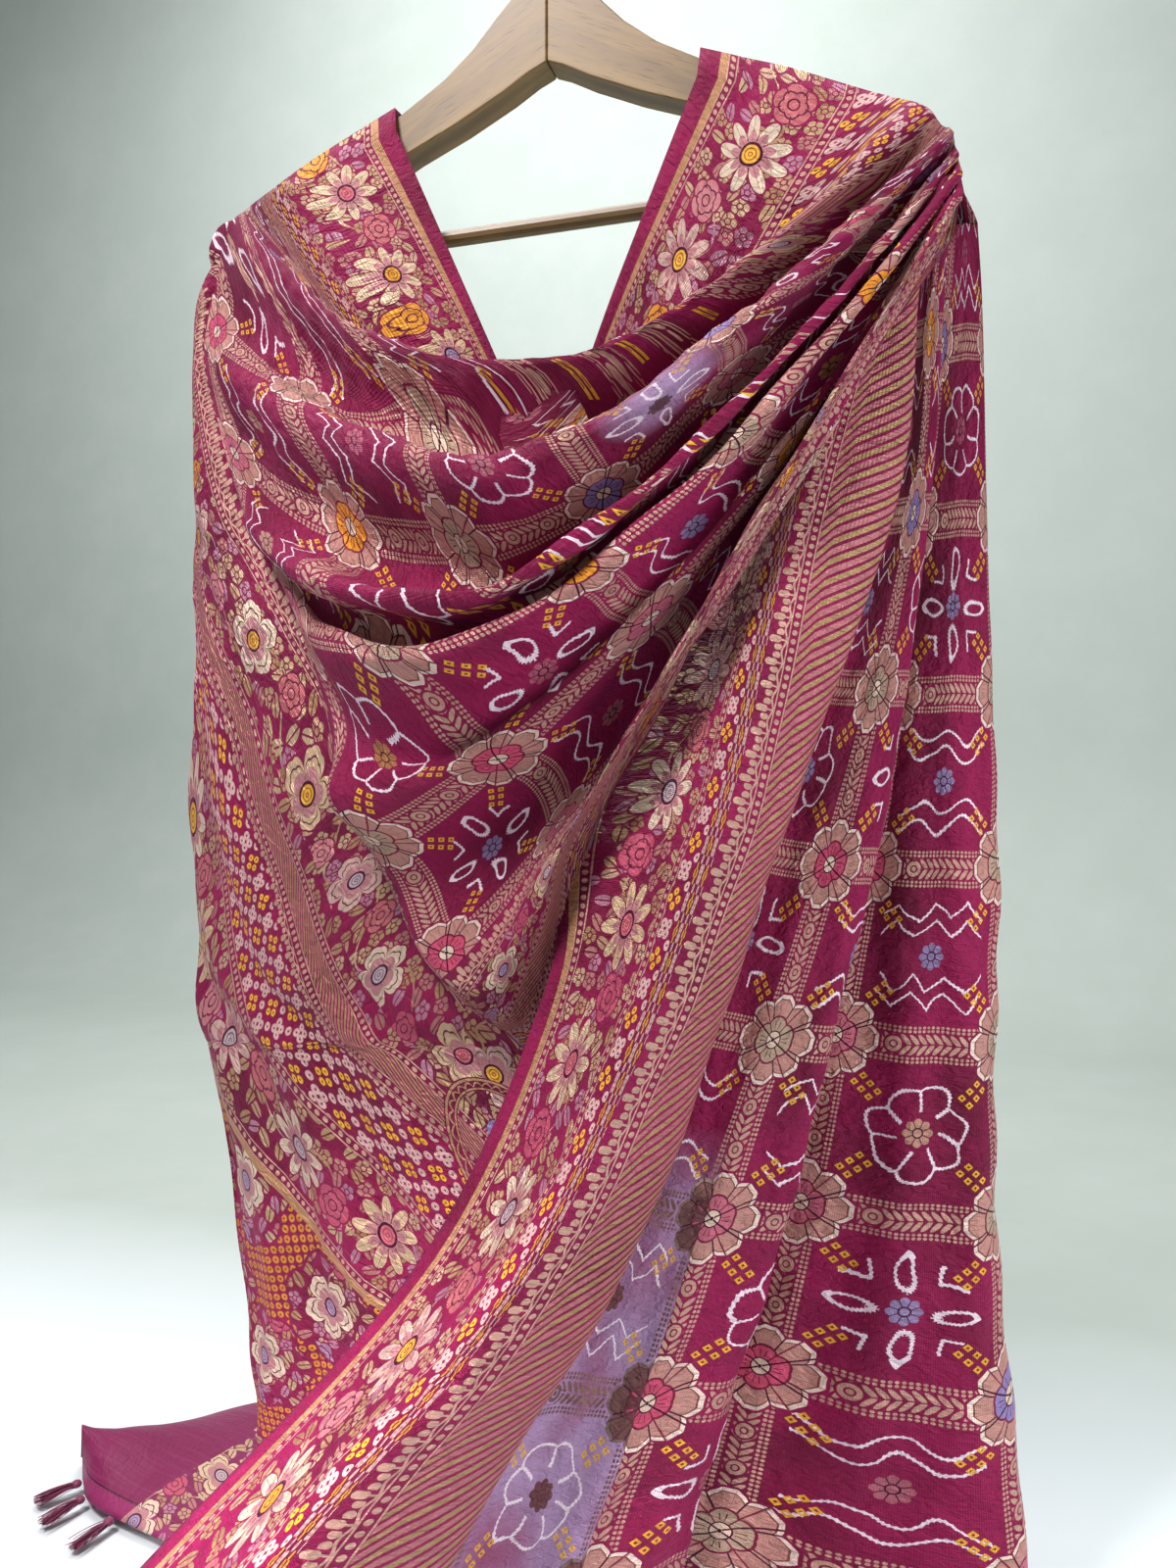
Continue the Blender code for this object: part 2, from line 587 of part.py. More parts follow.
def main():
    clear_scene()
    parts = collection("dupatta_on_hanger")
    guides = collection("guides")
    wood = material("hanger_wood", WOOD, 0.55)
    steel = material("hook_steel", STEEL, 0.3, 1.0)
    wine = material("stole_wine", WINE, 0.7)
    gold = material("stole_border", GOLD, 0.6)

    for side in (-1, 1):
        hanger_arm(side, wood, parts, guides)
    hanger_bar(wood, parts)
    hanger_hook(steel, parts)

    front = swag()
    cloth_wall("swag_neck", stretch_of(front, 0, NECK_LINES - 1), gold, parts)
    cloth_wall("swag_front", stretch_of(front, NECK_LINES - 1, SWAG_SPLIT), wine, parts)
    cloth_wall("swag_low", stretch_of(front, SWAG_SPLIT, None), wine, parts)
    cloth_wall("fall_left", left_fall(), wine, parts)
    side = right_fall()
    for name, (first, last) in FALL_SPLITS.items():
        piece = stretch_of(side, first, last).swapaxes(0, 1)
        cloth_wall(name, piece, gold if name == "fall_border" else wine, parts)
    cloth_wall("end_strip", end_strip(), wine, parts)
    for k, row in enumerate(TASSELS):
        tassel(f"tassel_{k + 1}", *row, wine, parts)


main()
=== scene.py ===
# %% [markdown]
# # A woven dupatta stole on a wooden clothes hanger
# The object is one long sheet of wine silk, woven with flat golden thread, tie-dyed with small
# white and yellow dots, and hung over a plain wooden hanger. The solids come packed as a frame in
# metres. Every soft solid gets a finer sheet here, lofted through the same fold lines, with small
# creases and a woven pattern that follows the cloth. The hanger's solids stay and get finishes.

import ast
import math

import bmesh
import bpy
import numpy as np
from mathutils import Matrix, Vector


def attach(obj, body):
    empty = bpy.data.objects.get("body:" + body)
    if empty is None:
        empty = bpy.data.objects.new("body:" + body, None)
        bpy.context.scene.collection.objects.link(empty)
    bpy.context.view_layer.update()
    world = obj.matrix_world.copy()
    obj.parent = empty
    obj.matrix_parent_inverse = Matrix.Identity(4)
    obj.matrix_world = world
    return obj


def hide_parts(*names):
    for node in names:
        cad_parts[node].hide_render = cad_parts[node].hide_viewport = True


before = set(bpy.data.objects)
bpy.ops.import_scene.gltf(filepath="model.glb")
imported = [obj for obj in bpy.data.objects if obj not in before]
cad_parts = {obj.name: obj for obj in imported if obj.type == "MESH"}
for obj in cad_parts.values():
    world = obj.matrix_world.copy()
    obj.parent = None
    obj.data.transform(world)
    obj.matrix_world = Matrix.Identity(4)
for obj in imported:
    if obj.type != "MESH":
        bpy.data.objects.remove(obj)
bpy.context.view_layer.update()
MM = 0.001


def in_scene(name, data):
    """A new object of the scene that holds a mesh, a light or a camera."""
    thing = bpy.data.objects.new(name, data)
    bpy.context.scene.collection.objects.link(thing)
    return thing


print("solids:", sorted(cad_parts))

# %% [markdown]
# ## The camera
# The stole is seen from a little to the right of the hanger's middle and from half its height,
# level, with a wide lens close by, so its lower folds look large. A camera with the same lens
# angle, place and turn gives the same view.

# %% Camera
eye = bpy.data.cameras.new("view_from_the_front")
eye.lens = 27.05
eye.sensor_width = 36
camera = in_scene("camera", eye)
camera.location = (0.23155, -0.68211, -0.58)
camera.rotation_euler = (math.radians(90), 0, math.radians(17))
bpy.context.scene.camera = camera
print("camera at", [round(x, 3) for x in camera.location])

# %% [markdown]
# ## Nodes from formulas
# A woven pattern is mostly arithmetic on two distances: u along the sheet and v across it. Written
# as Math nodes by hand that is hundreds of boxes, so the formulas are written as text here, and one
# small reader turns each into nodes. A colour is given as the usual hex value and turned to linear.

# %% One function that adds a node, and a reader of formulas
def add(tree, kind, inputs=None, **settings):
    """Adds one node with its settings, and links or sets its inputs."""
    made = tree.nodes.new(kind)
    for name, value in settings.items():
        setattr(made, name, value)
    for key, value in (inputs or {}).items():
        if isinstance(value, bpy.types.NodeSocket):
            tree.links.new(value, made.inputs[key])
        else:
            made.inputs[key].default_value = value
    return made


def out(tree, kind, inputs=None, **settings):
    """Adds one node in the same way, and returns its first output."""
    return add(tree, kind, inputs, **settings).outputs[0]


SIGNS = {ast.Add: "ADD", ast.Sub: "SUBTRACT", ast.Mult: "MULTIPLY", ast.Div: "DIVIDE",
         ast.Mod: "FLOORED_MODULO", ast.Pow: "POWER", ast.Lt: "LESS_THAN", ast.Gt: "GREATER_THAN"}
WORDS = {"abs": "ABSOLUTE", "min": "MINIMUM", "max": "MAXIMUM", "floor": "FLOOR", "sin": "SINE",
         "cos": "COSINE", "sqrt": "SQRT", "atan2": "ARCTAN2"}


def draft(tree, lines, **known):
    """Reads lines such as 'r = sqrt(x * x + y * y)' and returns every named value as a socket."""
    def step(operation, *terms):
        made = add(tree, "ShaderNodeMath", dict(enumerate(terms[:2])), operation=operation)
        return step(operation, made.outputs[0], *terms[2:]) if len(terms) > 2 else made.outputs[0]

    def value(term):
        if isinstance(term, ast.Constant):
            return float(term.value)
        if isinstance(term, ast.Name):
            return known[term.id]
        if isinstance(term, ast.UnaryOp):
            inner = value(term.operand)
            return -inner if isinstance(inner, float) else step("MULTIPLY", inner, -1.0)
        if isinstance(term, ast.BinOp):
            return step(SIGNS[type(term.op)], value(term.left), value(term.right))
        if isinstance(term, ast.Compare):
            return step(SIGNS[type(term.ops[0])], value(term.left), value(term.comparators[0]))
        return step(WORDS[term.func.id], *[value(a) for a in term.args])

    for line in lines.strip().splitlines():
        name, text = line.split("=", 1)
        known[name.strip()] = value(ast.parse(text.strip(), mode="eval").body)
    return known


def colour(code):
    """A hex sRGB colour as linear RGBA."""
    parts = [int(code[k:k + 2], 16) / 255 for k in (1, 3, 5)]
    return tuple(c / 12.92 if c <= 0.04045 else ((c + 0.055) / 1.055) ** 2.4 for c in parts) + (1.0,)


def painted(tree, base, layers):
    """A colour with layers laid over it in turn, each a mask and a colour."""
    for mask, over in layers:
        base = add(tree, "ShaderNodeMix", {0: mask, 6: base, 7: over}, data_type="RGBA").outputs[2]
    return base


def one_of(tree, chance, codes):
    """One of several colours, each with the same share of a chance from nought to one."""
    shares = add(tree, "ShaderNodeValToRGB", {"Fac": chance})
    stops = shares.color_ramp.elements
    shares.color_ramp.interpolation = "CONSTANT"
    for k, code in enumerate(codes):
        stop = stops[k] if k < 2 else stops.new(k / len(codes))
        stop.position = k / len(codes)
        stop.color = colour(code)
    return shares.outputs["Color"]


def picked(tree, u, v, codes, seed=0.0):
    """One of several colours, chosen at random for each pair of whole numbers u and v."""
    place = out(tree, "ShaderNodeCombineXYZ", {0: u, 1: v, 2: seed})
    chance = add(tree, "ShaderNodeTexWhiteNoise", {"Vector": place}, noise_dimensions="3D")
    return one_of(tree, chance.outputs["Value"], codes)


def new_finish(name):
    """A new material, and its empty node tree."""
    finish = bpy.data.materials.new(name)
    finish.use_nodes = True
    finish.node_tree.nodes.clear()
    return finish, finish.node_tree


def end_finish(tree, inputs):
    """Ends a finish with one Principled shader."""
    shader = add(tree, "ShaderNodeBsdfPrincipled", inputs)
    add(tree, "ShaderNodeOutputMaterial", {"Surface": shader.outputs[0]})


def scaled(tree, place, scale):
    """A place multiplied by one number."""
    return out(tree, "ShaderNodeVectorMath", {0: place, "Scale": scale}, operation="SCALE")


def split(tree, place):
    """The three numbers of a place."""
    return add(tree, "ShaderNodeSeparateXYZ", {0: place}).outputs


print("middle grey in linear light:", [round(c, 3) for c in colour("#808080")[:3]])

# %% [markdown]
# ## The weave
# The sheet is 1288 mm wide. Along each edge runs a woven border 276 mm deep, and across each end
# the same bands run in the same order. Between them a grid of leafy bands, 118 mm apart, divides
# the field into squares; a flower covers each crossing, and a dotted tie-dye figure fills each
# square. The golden thread is flat and slightly pink, so it shines softly rather than like metal.
# Each zone is a shader of its own, and a mask of exact noughts and ones chooses between them, so
# only one is worked out at each point.

# %% The woven field between the borders
SHEET_WIDTH = 1288      # millimetres, from selvedge to selvedge
BORDER = 276            # how deep the woven border is
GRID = 118              # from one leafy band to the next
GRID_U, GRID_V = 20, 290    # one crossing of the grid
GROUND = "#8A1247"      # wine silk
GROUND_DEEP = "#660A30"
# painted light: the lilac of the pale room's light seen through a single layer of wine silk
GROUND_PAINTED_LIGHT_THROUGH = "#A98CB2"    # where a single layer lets the pale room through
# painted shade: the wine ground, darker where it shows in narrow gaps between raised threads
SHADOW = "#45082A"      # the ground between packed threads
ZARI = "#BE9785"        # flat golden thread
ZARI_PALE = "#E6D2C4"
ZARI_ROSE = "#BD8A80"   # golden thread crossed by the rose silk
ROSES = ("#B9526A", "#BC6A6E", "#D08C2C", "#C07C80", "#B4506C", "#A4809C")
DOT_WHITE = "#E9D8E3"   # tied before dyeing, so the cloth's own pale lilac stays
DOT_YELLOW = "#E0AA2C"


def field_colour(tree, u, v, ground):
    """Colour and thread mask of the field, from millimetres along and across the sheet."""
    place = out(tree, "ShaderNodeCombineXYZ", {0: u, 1: v})
    # hand-tied figures are never quite true, so a slow noise pulls them by up to 5.5 mm
    drawn = add(tree, "ShaderNodeTexNoise", {"Vector": place, "Scale": 0.036, "Detail": 1.0},
                noise_dimensions="2D")
    drawn = add(tree, "ShaderNodeSeparateColor", {0: drawn.outputs["Color"]}).outputs
    bend = [add(tree, "ShaderNodeMath", {0: drawn[k], 1: 11.0, 2: -5.5}, operation="MULTIPLY_ADD")
            for k in (0, 1)]
    # gu, gv count the squares and x, y lie in one; eu, ev, across and along are from its edges;
    # r, a are round a crossing; rr, aa and the bent wr, wa are round the middle of a square
    d = draft(tree, """
        gu = (u - grid_u) / grid
        gv = (v - grid_v) / grid
        iu = floor(gu)
        iv = floor(gv)
        x = (gu - iu - 0.5) * grid
        y = (gv - iv - 0.5) * grid
        eu = half - abs(x)
        ev = half - abs(y)
        across = min(eu, ev)
        along = v + (eu > ev) * (u - v)
        chain_at = along % 3.2 - 1.6
        chain_off = min(abs(across - 8.9), abs(across - 11.4))
        chain = (chain_at * chain_at * 0.8 + chain_off * chain_off) < 1.0
        slant = abs((along + across * 0.75) % 5.4 - 2.7)
        leaf = (slant < 1.95 - (across - 3.2) * (across - 3.2) * 0.09) * (across < 6.8) * (across > 0.45)
        mid = along - grid_u - floor((along - grid_u) / grid) * grid - half
        bloom_at = abs(abs(mid) - 14)
        bloom_r = sqrt(bloom_at * bloom_at + across * across)
        bloom = (bloom_r < 5.2) * (abs(bloom_r - 2.2) > 0.5)
        clear = bloom_r > 6.6
        sprig = max(leaf * clear, bloom)
        r = sqrt(eu * eu + ev * ev)
        a = atan2(ev, eu)
        lobe = abs(cos(a * 4))
        rim_r = 22.5 + 8 * lobe ** 0.4 - 0.8 * abs(cos(a * 12))
        flower = r < rim_r
        moat = r < rim_r + 1.7
        crack = (lobe * r < 1.9) * (r > 10)
        edge = max(abs(r - rim_r + 3.0) < 0.45, (abs(cos(a * 12)) * r < 1.3) * (r > 20))
        tip = r < rim_r - 2.8
        petal = abs(cos(a * 2.5))
        rose_edge = 11.5 + 4 * petal ** 0.5
        rose = r < rose_edge
        rose_fold = (abs(petal - 0.9) < 0.035) * (r > 7) * (r < 12)
        rose_line = max(abs(r - rose_edge) < 0.7, (petal * r < 1.1) * (r > 5.5), rose_fold)
        heart = r < 5.6
        heart_line = max(abs(r - 5.8) < 0.45, (abs(cos(a * 1.5)) * r < 0.8) * (r > 1.5), r < 1.3)
        cu = floor(gu + 0.5)
        cv = floor(gv + 0.5)
        rr = sqrt(x * x + y * y)
        aa = atan2(y, x)
        wx = x + bend_x
        wy = y + bend_y
        wr = sqrt(wx * wx + wy * wy)
        wa = atan2(wy, wx)
        wide = max(abs(wx), abs(wy))
        slim = min(abs(wx), abs(wy))
        kind = (iu + iv) % 4
        ring = abs(wr - 26.5 - 4.5 * abs(cos(wa * 3.5)))
        spoke = abs(cos(wa * 3.5)) * wr * 0.28 + (wr < 13) * 9 + (wr > 27) * 9
        wheel = min(ring, spoke)
        loop = abs(sqrt((wide - 25.5) * (wide - 25.5) * 0.0082 + slim * slim * 0.042) - 1) * 5
        loops = min(loop, abs(slim - 18) + (wide > 30) * 9)
        wave = 14 + 10 * cos(wy * 0.082) ** 2
        waves = min(abs(abs(wx) - wave), abs(abs(wx) - wave - 11)) + (abs(wy) > 38) * 9
        tooth = 12 + abs(wy % 25 - 12.5) * 0.95
        zigzag = min(abs(abs(wx) - tooth), abs(abs(wx) - tooth - 12)) + (abs(wy) > 37) * 9
        first = kind < 0.5
        second = (kind > 0.5) * (kind < 1.5)
        third = (kind > 1.5) * (kind < 2.5)
        fourth = kind > 2.5
        near = first * wheel + second * loops + third * waves + fourth * zigzag
        run = first * (wa * 31 + wr) + second * (wide + slim) + (1 - first - second) * wy * 1.12
        white = near < 1.45 - 0.75 * abs(sin(run * 1.05))
        small = abs(cos(aa * 4))
        rosette = rr < 7.4 + 2.2 * small
        rosette_dark = rosette * max((small * rr < 1.3) * (rr > 3), abs(rr - 3.1) < 0.5)
        ka = (abs(x) - 27 + abs(y) - 33) * 0.7071
        kb = (abs(x) - 27 - abs(y) + 33) * 0.7071
        da = abs((ka + 3.3) % 6.6 - 3.3)
        db = abs(kb % 6.6 - 3.3)
        dot = (max(da, db) < 1.9) * (max(da, db) > 0.7)
        yellow = dot * (abs(ka) < 9.9) * (abs(kb) < 6.6)
        band = (across < 12.6) * max(sprig, chain)
        thread = max(band * (1 - moat), flower * (1 - crack), rosette)
    """, u=u, v=v, bend_x=bend[0].outputs[0], bend_y=bend[1].outputs[0],
        grid=GRID, half=GRID / 2, grid_u=GRID_U, grid_v=GRID_V)
    rose = picked(tree, d["cu"], d["cv"],
                  ("#C04C6C", "#B09A84", "#E0922A", "#C06A7C", "#8A7EB4", "#C8506E"), 3.0)
    flower = painted(tree, colour(ZARI_PALE), [
        (d["tip"], colour(ZARI_ROSE)), (d["edge"], colour("#7C4440")), (d["crack"], colour(SHADOW)),
        (d["rose"], rose), (d["rose_line"], colour("#7A1C3C")), (d["heart"], colour("#E0C8B4")),
        (d["heart_line"], colour(SHADOW))])
    rosette = picked(tree, d["iu"], d["iv"], ("#A9546A", "#B58A78", "#A8606E", "#8E7CA4", "#A8744C"))
    inside = painted(tree, ground, [
        (d["white"], colour(DOT_WHITE)), (d["yellow"], colour(DOT_YELLOW)),
        (d["rosette"], rosette), (d["rosette_dark"], colour(SHADOW)),
        (d["band"], colour(ZARI)), (d["moat"], ground), (d["flower"], flower)])
    return inside, d["thread"]

# %% [markdown]
# ## The woven borders
# From the field outwards the bands are: a row of buds, a garland, slanted stripes, a second row of
# buds, a tied trellis, a row of large daisies, and a plain selvedge, with beads between them. Both
# the edges and the ends use them, so one distance from the field, o, and one along it are enough.

# %% Border bands
LEAF_CELL = 10.5        # millimetres that one leaf has to itself


def flowers_along(tree, along, c, size, dense, ground):
    """Daisies and roses in turn along a band, with packed leaves and small flowers between them."""
    cell = scaled(tree, out(tree, "ShaderNodeCombineXYZ", {0: along, 1: c}), 1 / LEAF_CELL)
    leaf = add(tree, "ShaderNodeTexVoronoi", {"Vector": cell, "Scale": 1.0, "Randomness": 0.8},
               voronoi_dimensions="2D")
    rim = add(tree, "ShaderNodeTexVoronoi", {"Vector": cell, "Scale": 1.0, "Randomness": 0.8},
              voronoi_dimensions="2D", feature="DISTANCE_TO_EDGE").outputs["Distance"]
    there = add(tree, "ShaderNodeVectorMath", {0: cell, 1: leaf.outputs["Position"]}, operation="SUBTRACT")
    there = split(tree, there.outputs[0])
    chance = add(tree, "ShaderNodeSeparateColor", {0: leaf.outputs["Color"]}).outputs
    # k counts the large flowers and x, y, r, a lie round one; k2 to a2 do so for the roses between;
    # tx, ty, lx, ly lie round the nearest leaf or tiny flower
    d = draft(tree, """
        k = floor(along / pitch)
        side = (k % 2) * 2 - 1
        x = along - k * pitch - pitch / 2
        y = c - side * 3
        r = sqrt(x * x + y * y) / size
        a = atan2(y, x) + k
        petal = (1 - dense) * abs(cos(a * 4.5)) + dense * abs(cos(a * 2.5)) ** 0.45
        tip = 8 + 15 * petal ** 0.8 + dense * 1.4 * abs(cos(a * 7.5))
        daisy = r < tip
        moat = r < tip + 1.5
        seam = max(petal * r < 2.0, dense * (abs(r - tip + 5) < 0.6))
        vein = max((1 - dense) * (abs(sin(a * 4.5)) * r < 0.5), seam) * (r > 8)
        inner = r < 8 + 6.5 * petal
        heart = r < 5.8
        heart_line = abs(r - 6.6) < 0.8
        grain = abs(r % 2.4 - 1.2) < 0.35
        k2 = floor((along + pitch / 2) / pitch)
        x2 = along - k2 * pitch
        y2 = c + ((k2 % 2) * 2 - 1) * 9
        r2 = sqrt(x2 * x2 + y2 * y2) / size
        a2 = atan2(y2, x2) + k2
        scallop = abs(cos(a2 * 2.5))
        rose_edge = 9.5 + 2.8 * scallop ** 0.5
        rose = r2 < rose_edge
        rose_moat = r2 < rose_edge + 1.4
        whorl = abs(r2 - 6.6 - 1.8 * abs(cos(a2 * 2.5 + 1.57))) < 0.55
        rose_line = max(whorl, abs(r2 - 3.2) < 0.5, (scallop * r2 < 1.1) * (r2 > 7))
        turn = chance_a * 6.28
        lx = (tx * cos(turn) + ty * sin(turn)) * cell
        ly = (ty * cos(turn) - tx * sin(turn)) * cell
        tiny_r = sqrt(tx * tx + ty * ty) * cell
        tiny_petal = abs(cos(atan2(ty, tx) * 2.5 + turn))
        is_tiny = chance_b > 0.5
        blade = lx * lx / 30 + ly * ly / 8.6 < 1
        tiny = tiny_r < 3.1 + 2.0 * tiny_petal ** 0.5
        body = (rim * cell > 0.5) * (is_tiny * tiny + (1 - is_tiny) * blade)
        rib = (1 - is_tiny) * (abs(ly) < 0.42)
        tiny_line = is_tiny * max((tiny_petal * tiny_r < 0.8) * (tiny_r > 1.5), abs(tiny_r - 1.7) < 0.4)
        vine = abs(c - 12 * sin(along * 0.0873)) < 0.7
        clear = 1 - max(moat, rose_moat)
        fill = clear * max(body * (1 - max(rib, tiny_line)), vine)
        thread = max(max(daisy * (1 - vein), rose * (1 - rose_line)), fill)
        rose_ink = rose * rose_line
        vein_ink = daisy * vein
        blush = daisy * inner * (1 - vein)
        seeds = heart * grain
    """, along=along, c=c, size=size, dense=dense, rim=rim, pitch=72, cell=LEAF_CELL,
        tx=there[0], ty=there[1], chance_a=chance[0], chance_b=chance[1])
    leaves = one_of(tree, chance[2], (
        "#A98A64", "#B39A74", "#A8746C", "#B09070", "#A07E5A", "#A9788A", "#BBA282"))
    petals = picked(tree, d["k"], 0.0, ("#CDB596", "#C9A79C", "#CDB18E", "#D3BFA8"), 5.0)
    hearts = picked(tree, d["k"], 2.0, ("#DA9A30", "#9C8CB4", "#C9647A", "#E0A83A", "#B4A8B4"), 7.0)
    shade = painted(tree, ground, [
        (d["fill"], leaves), (d["rose"], picked(tree, d["k2"], 1.0, ROSES, 6.0)),
        (d["rose_ink"], colour("#641234")), (d["daisy"], petals), (d["blush"], colour("#B57C80")),
        (d["vein_ink"], colour("#6E2A40")), (d["heart_line"], colour(SHADOW)),
        (d["heart"], hearts), (d["seeds"], colour("#8A5030"))])
    return shade, d["thread"]


def border_colour(tree, o, along, side, end, ground):
    """Colour and thread mask of the border, from the distance outwards from the field and along it."""
    # side and end are the distances past an edge and an end of the field: a paisley fills the corner.
    # Bands by o: buds to 16, garland 22 to 70, stripes 76 to 104, buds 110 to 126, trellis to 184,
    # daisies 190 to 252, a solid line 258 to 263, and beads in the gaps between
    d = draft(tree, """
        px = side - 62
        py = end - 62
        pr = sqrt(px * px + py * py)
        tear = pr * (1.15 - 0.4 * cos(atan2(py, px) - 0.785))
        paisley = (tear > 28.5) * (tear < 39)
        scallop = abs(sin(atan2(py, px) * 12))
        curl = max(abs(tear - 37) < 0.9, abs(tear - 30) < 0.6, abs(tear - 31.6 - 3.2 * scallop) < 0.7)
        paisley_heart = tear < 6
        bd = min(abs(o - 19), abs(o - 73), abs(o - 107), abs(o - 187), abs(o - 255))
        bead_at = along % 4.8 - 2.4
        bead = max(bead_at * bead_at + bd * bd < 2.1, abs(bd - 2.75) < 0.42)
        bead_zone = bd < 3.4
        low = o < 60
        yb = low * (16 - o) + (1 - low) * (o - 110)
        bud_zone = (abs(o - 8) < 8) + (abs(o - 118) < 8)
        xb = abs(along % 12.5 - 6.25)
        bud = (xb * xb / 5.2 + (yb - 9.5) * (yb - 9.5) / 22) < 1
        side_leaf = ((xb - 3.9) * (xb - 3.9) / 3.6 + (yb - 6.4) * (yb - 6.4) / 9) < 1
        vine = abs(yb - 1.9 - 1.1 * cos(along * 0.5027)) < 0.8
        stalk = (xb < 0.5) * (yb < 6)
        cleft = abs(xb - 2.2) > 0.35
        buds = max(max(bud, side_leaf) * cleft, vine, stalk)
        stripe_zone = abs(o - 90) < 14
        slant = (along - o * 1.25) % 11.5
        stripe_a = slant < 3.5
        stripe_b = (slant > 5.7) * (slant < 9.4)
        solid = abs(o - 260.5) < 2.5
        pa = (along + o) * 0.7071
        pb = (along - o) * 0.7071
        la = 10.5 - abs(pa % 21 - 10.5)
        lb = 10.5 - abs(pb % 21 - 10.5)
        ta = abs(pb % 7 - 3.5)
        tb = abs(pa % 7 - 3.5)
        blossom = min(sqrt(la * la + ta * ta), sqrt(lb * lb + tb * tb))
        trellis_zone = abs(o - 155) < 29
        bloom = (blossom < 2.6) * (blossom > 0.7)
        sa = (pa % 21 - 10.5) % 5.2 - 2.6
        sb = (pb % 21 - 10.5) % 5.2 - 2.6
        middle = (la > 5.3) * (lb > 5.3)
        dot = abs(sqrt(sa * sa + sb * sb) - 1.35) < 0.75
        yellow = dot * middle
        garland_zone = abs(o - 46) < 24
        daisy_zone = abs(o - 221) < 31
        c = o - 46 - (1 - low) * 175
        size = 1 - low * 0.24
        floral = max(garland_zone, daisy_zone)
        bloom_on = trellis_zone * bloom
        yellow_on = trellis_zone * yellow
        stripe_a_on = stripe_zone * stripe_a
        stripe_b_on = stripe_zone * stripe_b
        buds_on = bud_zone * buds
        bead_on = bead_zone * bead
        curl_on = paisley * curl
        woven = max(bead_on, buds_on, stripe_a_on, stripe_b_on, solid)
    """, o=o, along=along, side=side, end=end)
    floral, floral_thread = flowers_along(tree, d["along"], d["c"], d["size"], d["low"], ground)
    thread = draft(tree, "t = max(floral * floral_thread, woven)",
                   floral=d["floral"], floral_thread=floral_thread, woven=d["woven"])["t"]
    shade = painted(tree, ground, [
        (d["floral"], floral), (d["bloom_on"], colour("#CFA9A4")), (d["yellow_on"], colour(DOT_YELLOW)),
        (d["stripe_a_on"], colour("#A68660")), (d["stripe_b_on"], colour("#B06E72")),
        (d["bead_zone"], ground), (d["bead_on"], colour(ZARI)), (d["buds_on"], colour(ZARI)),
        (d["solid"], colour("#B0845F")), (d["paisley"], ground),
        (d["curl_on"], colour("#AE8A66")), (d["paisley_heart"], colour("#8A7EAC"))])
    return shade, thread


def pallu_colour(tree, u, v, ground):
    """Colour and thread mask of the worked end: rows of yellow dots with round bouquets."""
    pitch = 84
    wide = scaled(tree, out(tree, "ShaderNodeCombineXYZ", {0: u, 1: v}), 1 / pitch)
    bunch = add(tree, "ShaderNodeTexVoronoi", {"Vector": wide, "Scale": 1.0, "Randomness": 0.35},
                voronoi_dimensions="2D")
    there = add(tree, "ShaderNodeVectorMath", {0: wide, 1: bunch.outputs["Position"]}, operation="SUBTRACT")
    there = split(tree, there.outputs[0])
    d = draft(tree, """
        bx = tx * pitch
        by = ty * pitch
        r = sqrt(bx * bx + by * by)
        a = atan2(by, bx)
        bunch = r < 31 + 5 * abs(cos(a * 3.5))
        moat = r < 33 + 5 * abs(cos(a * 3.5))
        da = ((u + v) * 0.7071) % 5.8 - 2.9
        db = ((u - v) * 0.7071) % 5.8 - 2.9
        dots = (abs(sqrt(da * da + db * db) - 1.5) < 0.8) * (1 - moat)
        flower_along = bx + 36
    """, u=u, v=v, tx=there[0], ty=there[1], pitch=pitch)
    floral, floral_thread = flowers_along(tree, d["flower_along"], d["by"], 0.86, 1.0, ground)
    thread = draft(tree, "t = bunch * floral_thread", bunch=d["bunch"], floral_thread=floral_thread)["t"]
    shade = painted(tree, ground, [(d["dots"], colour("#C4832A")), (d["bunch"], floral)])
    return shade, thread

# %% [markdown]
# ## The cloth's finish
# Silk crepe is matt to look at straight on and shines pink where light grazes it, which a little
# sheen gives. The tied dots pull the cloth into small crinkles, so a bump of soft noise and fine
# threads lies over all of it. The threads are drawn 1.1 mm apart, wider than the real quarter of a
# millimetre, because finer ones would not show. Golden thread is smoother and a little metallic.
# Where a single layer hangs alone, in a spot on the swag and a strip low on the right fall, light
# through it is painted: the wine ground is painted lilac there, and the golden thread painted dark.

# %% Woven silk with golden thread
def thread_bump(tree, place, strength):
    """A normal from fine crossing threads, puckers and soft dents, in millimetres of cloth."""
    fine = out(tree, "ShaderNodeMapping", {"Vector": place, "Scale": (0.26, 0.13, 1.0)})
    pucker = add(tree, "ShaderNodeTexNoise", {
        "Vector": fine, "Scale": 1.0, "Detail": 2.0, "Roughness": 0.55, "Distortion": 0.7},
        noise_dimensions="2D")
    dent = add(tree, "ShaderNodeTexNoise", {"Vector": place, "Scale": 0.034, "Detail": 2.0, "Roughness": 0.5},
               noise_dimensions="2D")
    x, y, _ = split(tree, place)
    height = draft(tree, "h = pucker * 1.7 + dent * 4.0 + 0.05 * (sin(x * 5.7) + sin(y * 5.7))",
                   pucker=pucker.outputs[0], dent=dent.outputs[0], x=x, y=y)["h"]
    return out(tree, "ShaderNodeBump", {
        "Strength": strength, "Distance": 0.0022, "Height": height})


def silk(tree, shade, thread, normal):
    """Silk where there is no golden thread, and thread over it."""
    gloss = draft(tree, "rough = 0.55 - thread * 0.15\nmetal = thread * 0.35", thread=thread)
    return out(tree, "ShaderNodeBsdfPrincipled", {
        "Base Color": shade, "Roughness": gloss["rough"], "Metallic": gloss["metal"], "Normal": normal,
        "Sheen Weight": 0.1, "Sheen Roughness": 0.3, "Sheen Tint": colour("#F078BC"),
        "Specular IOR Level": 0.18})


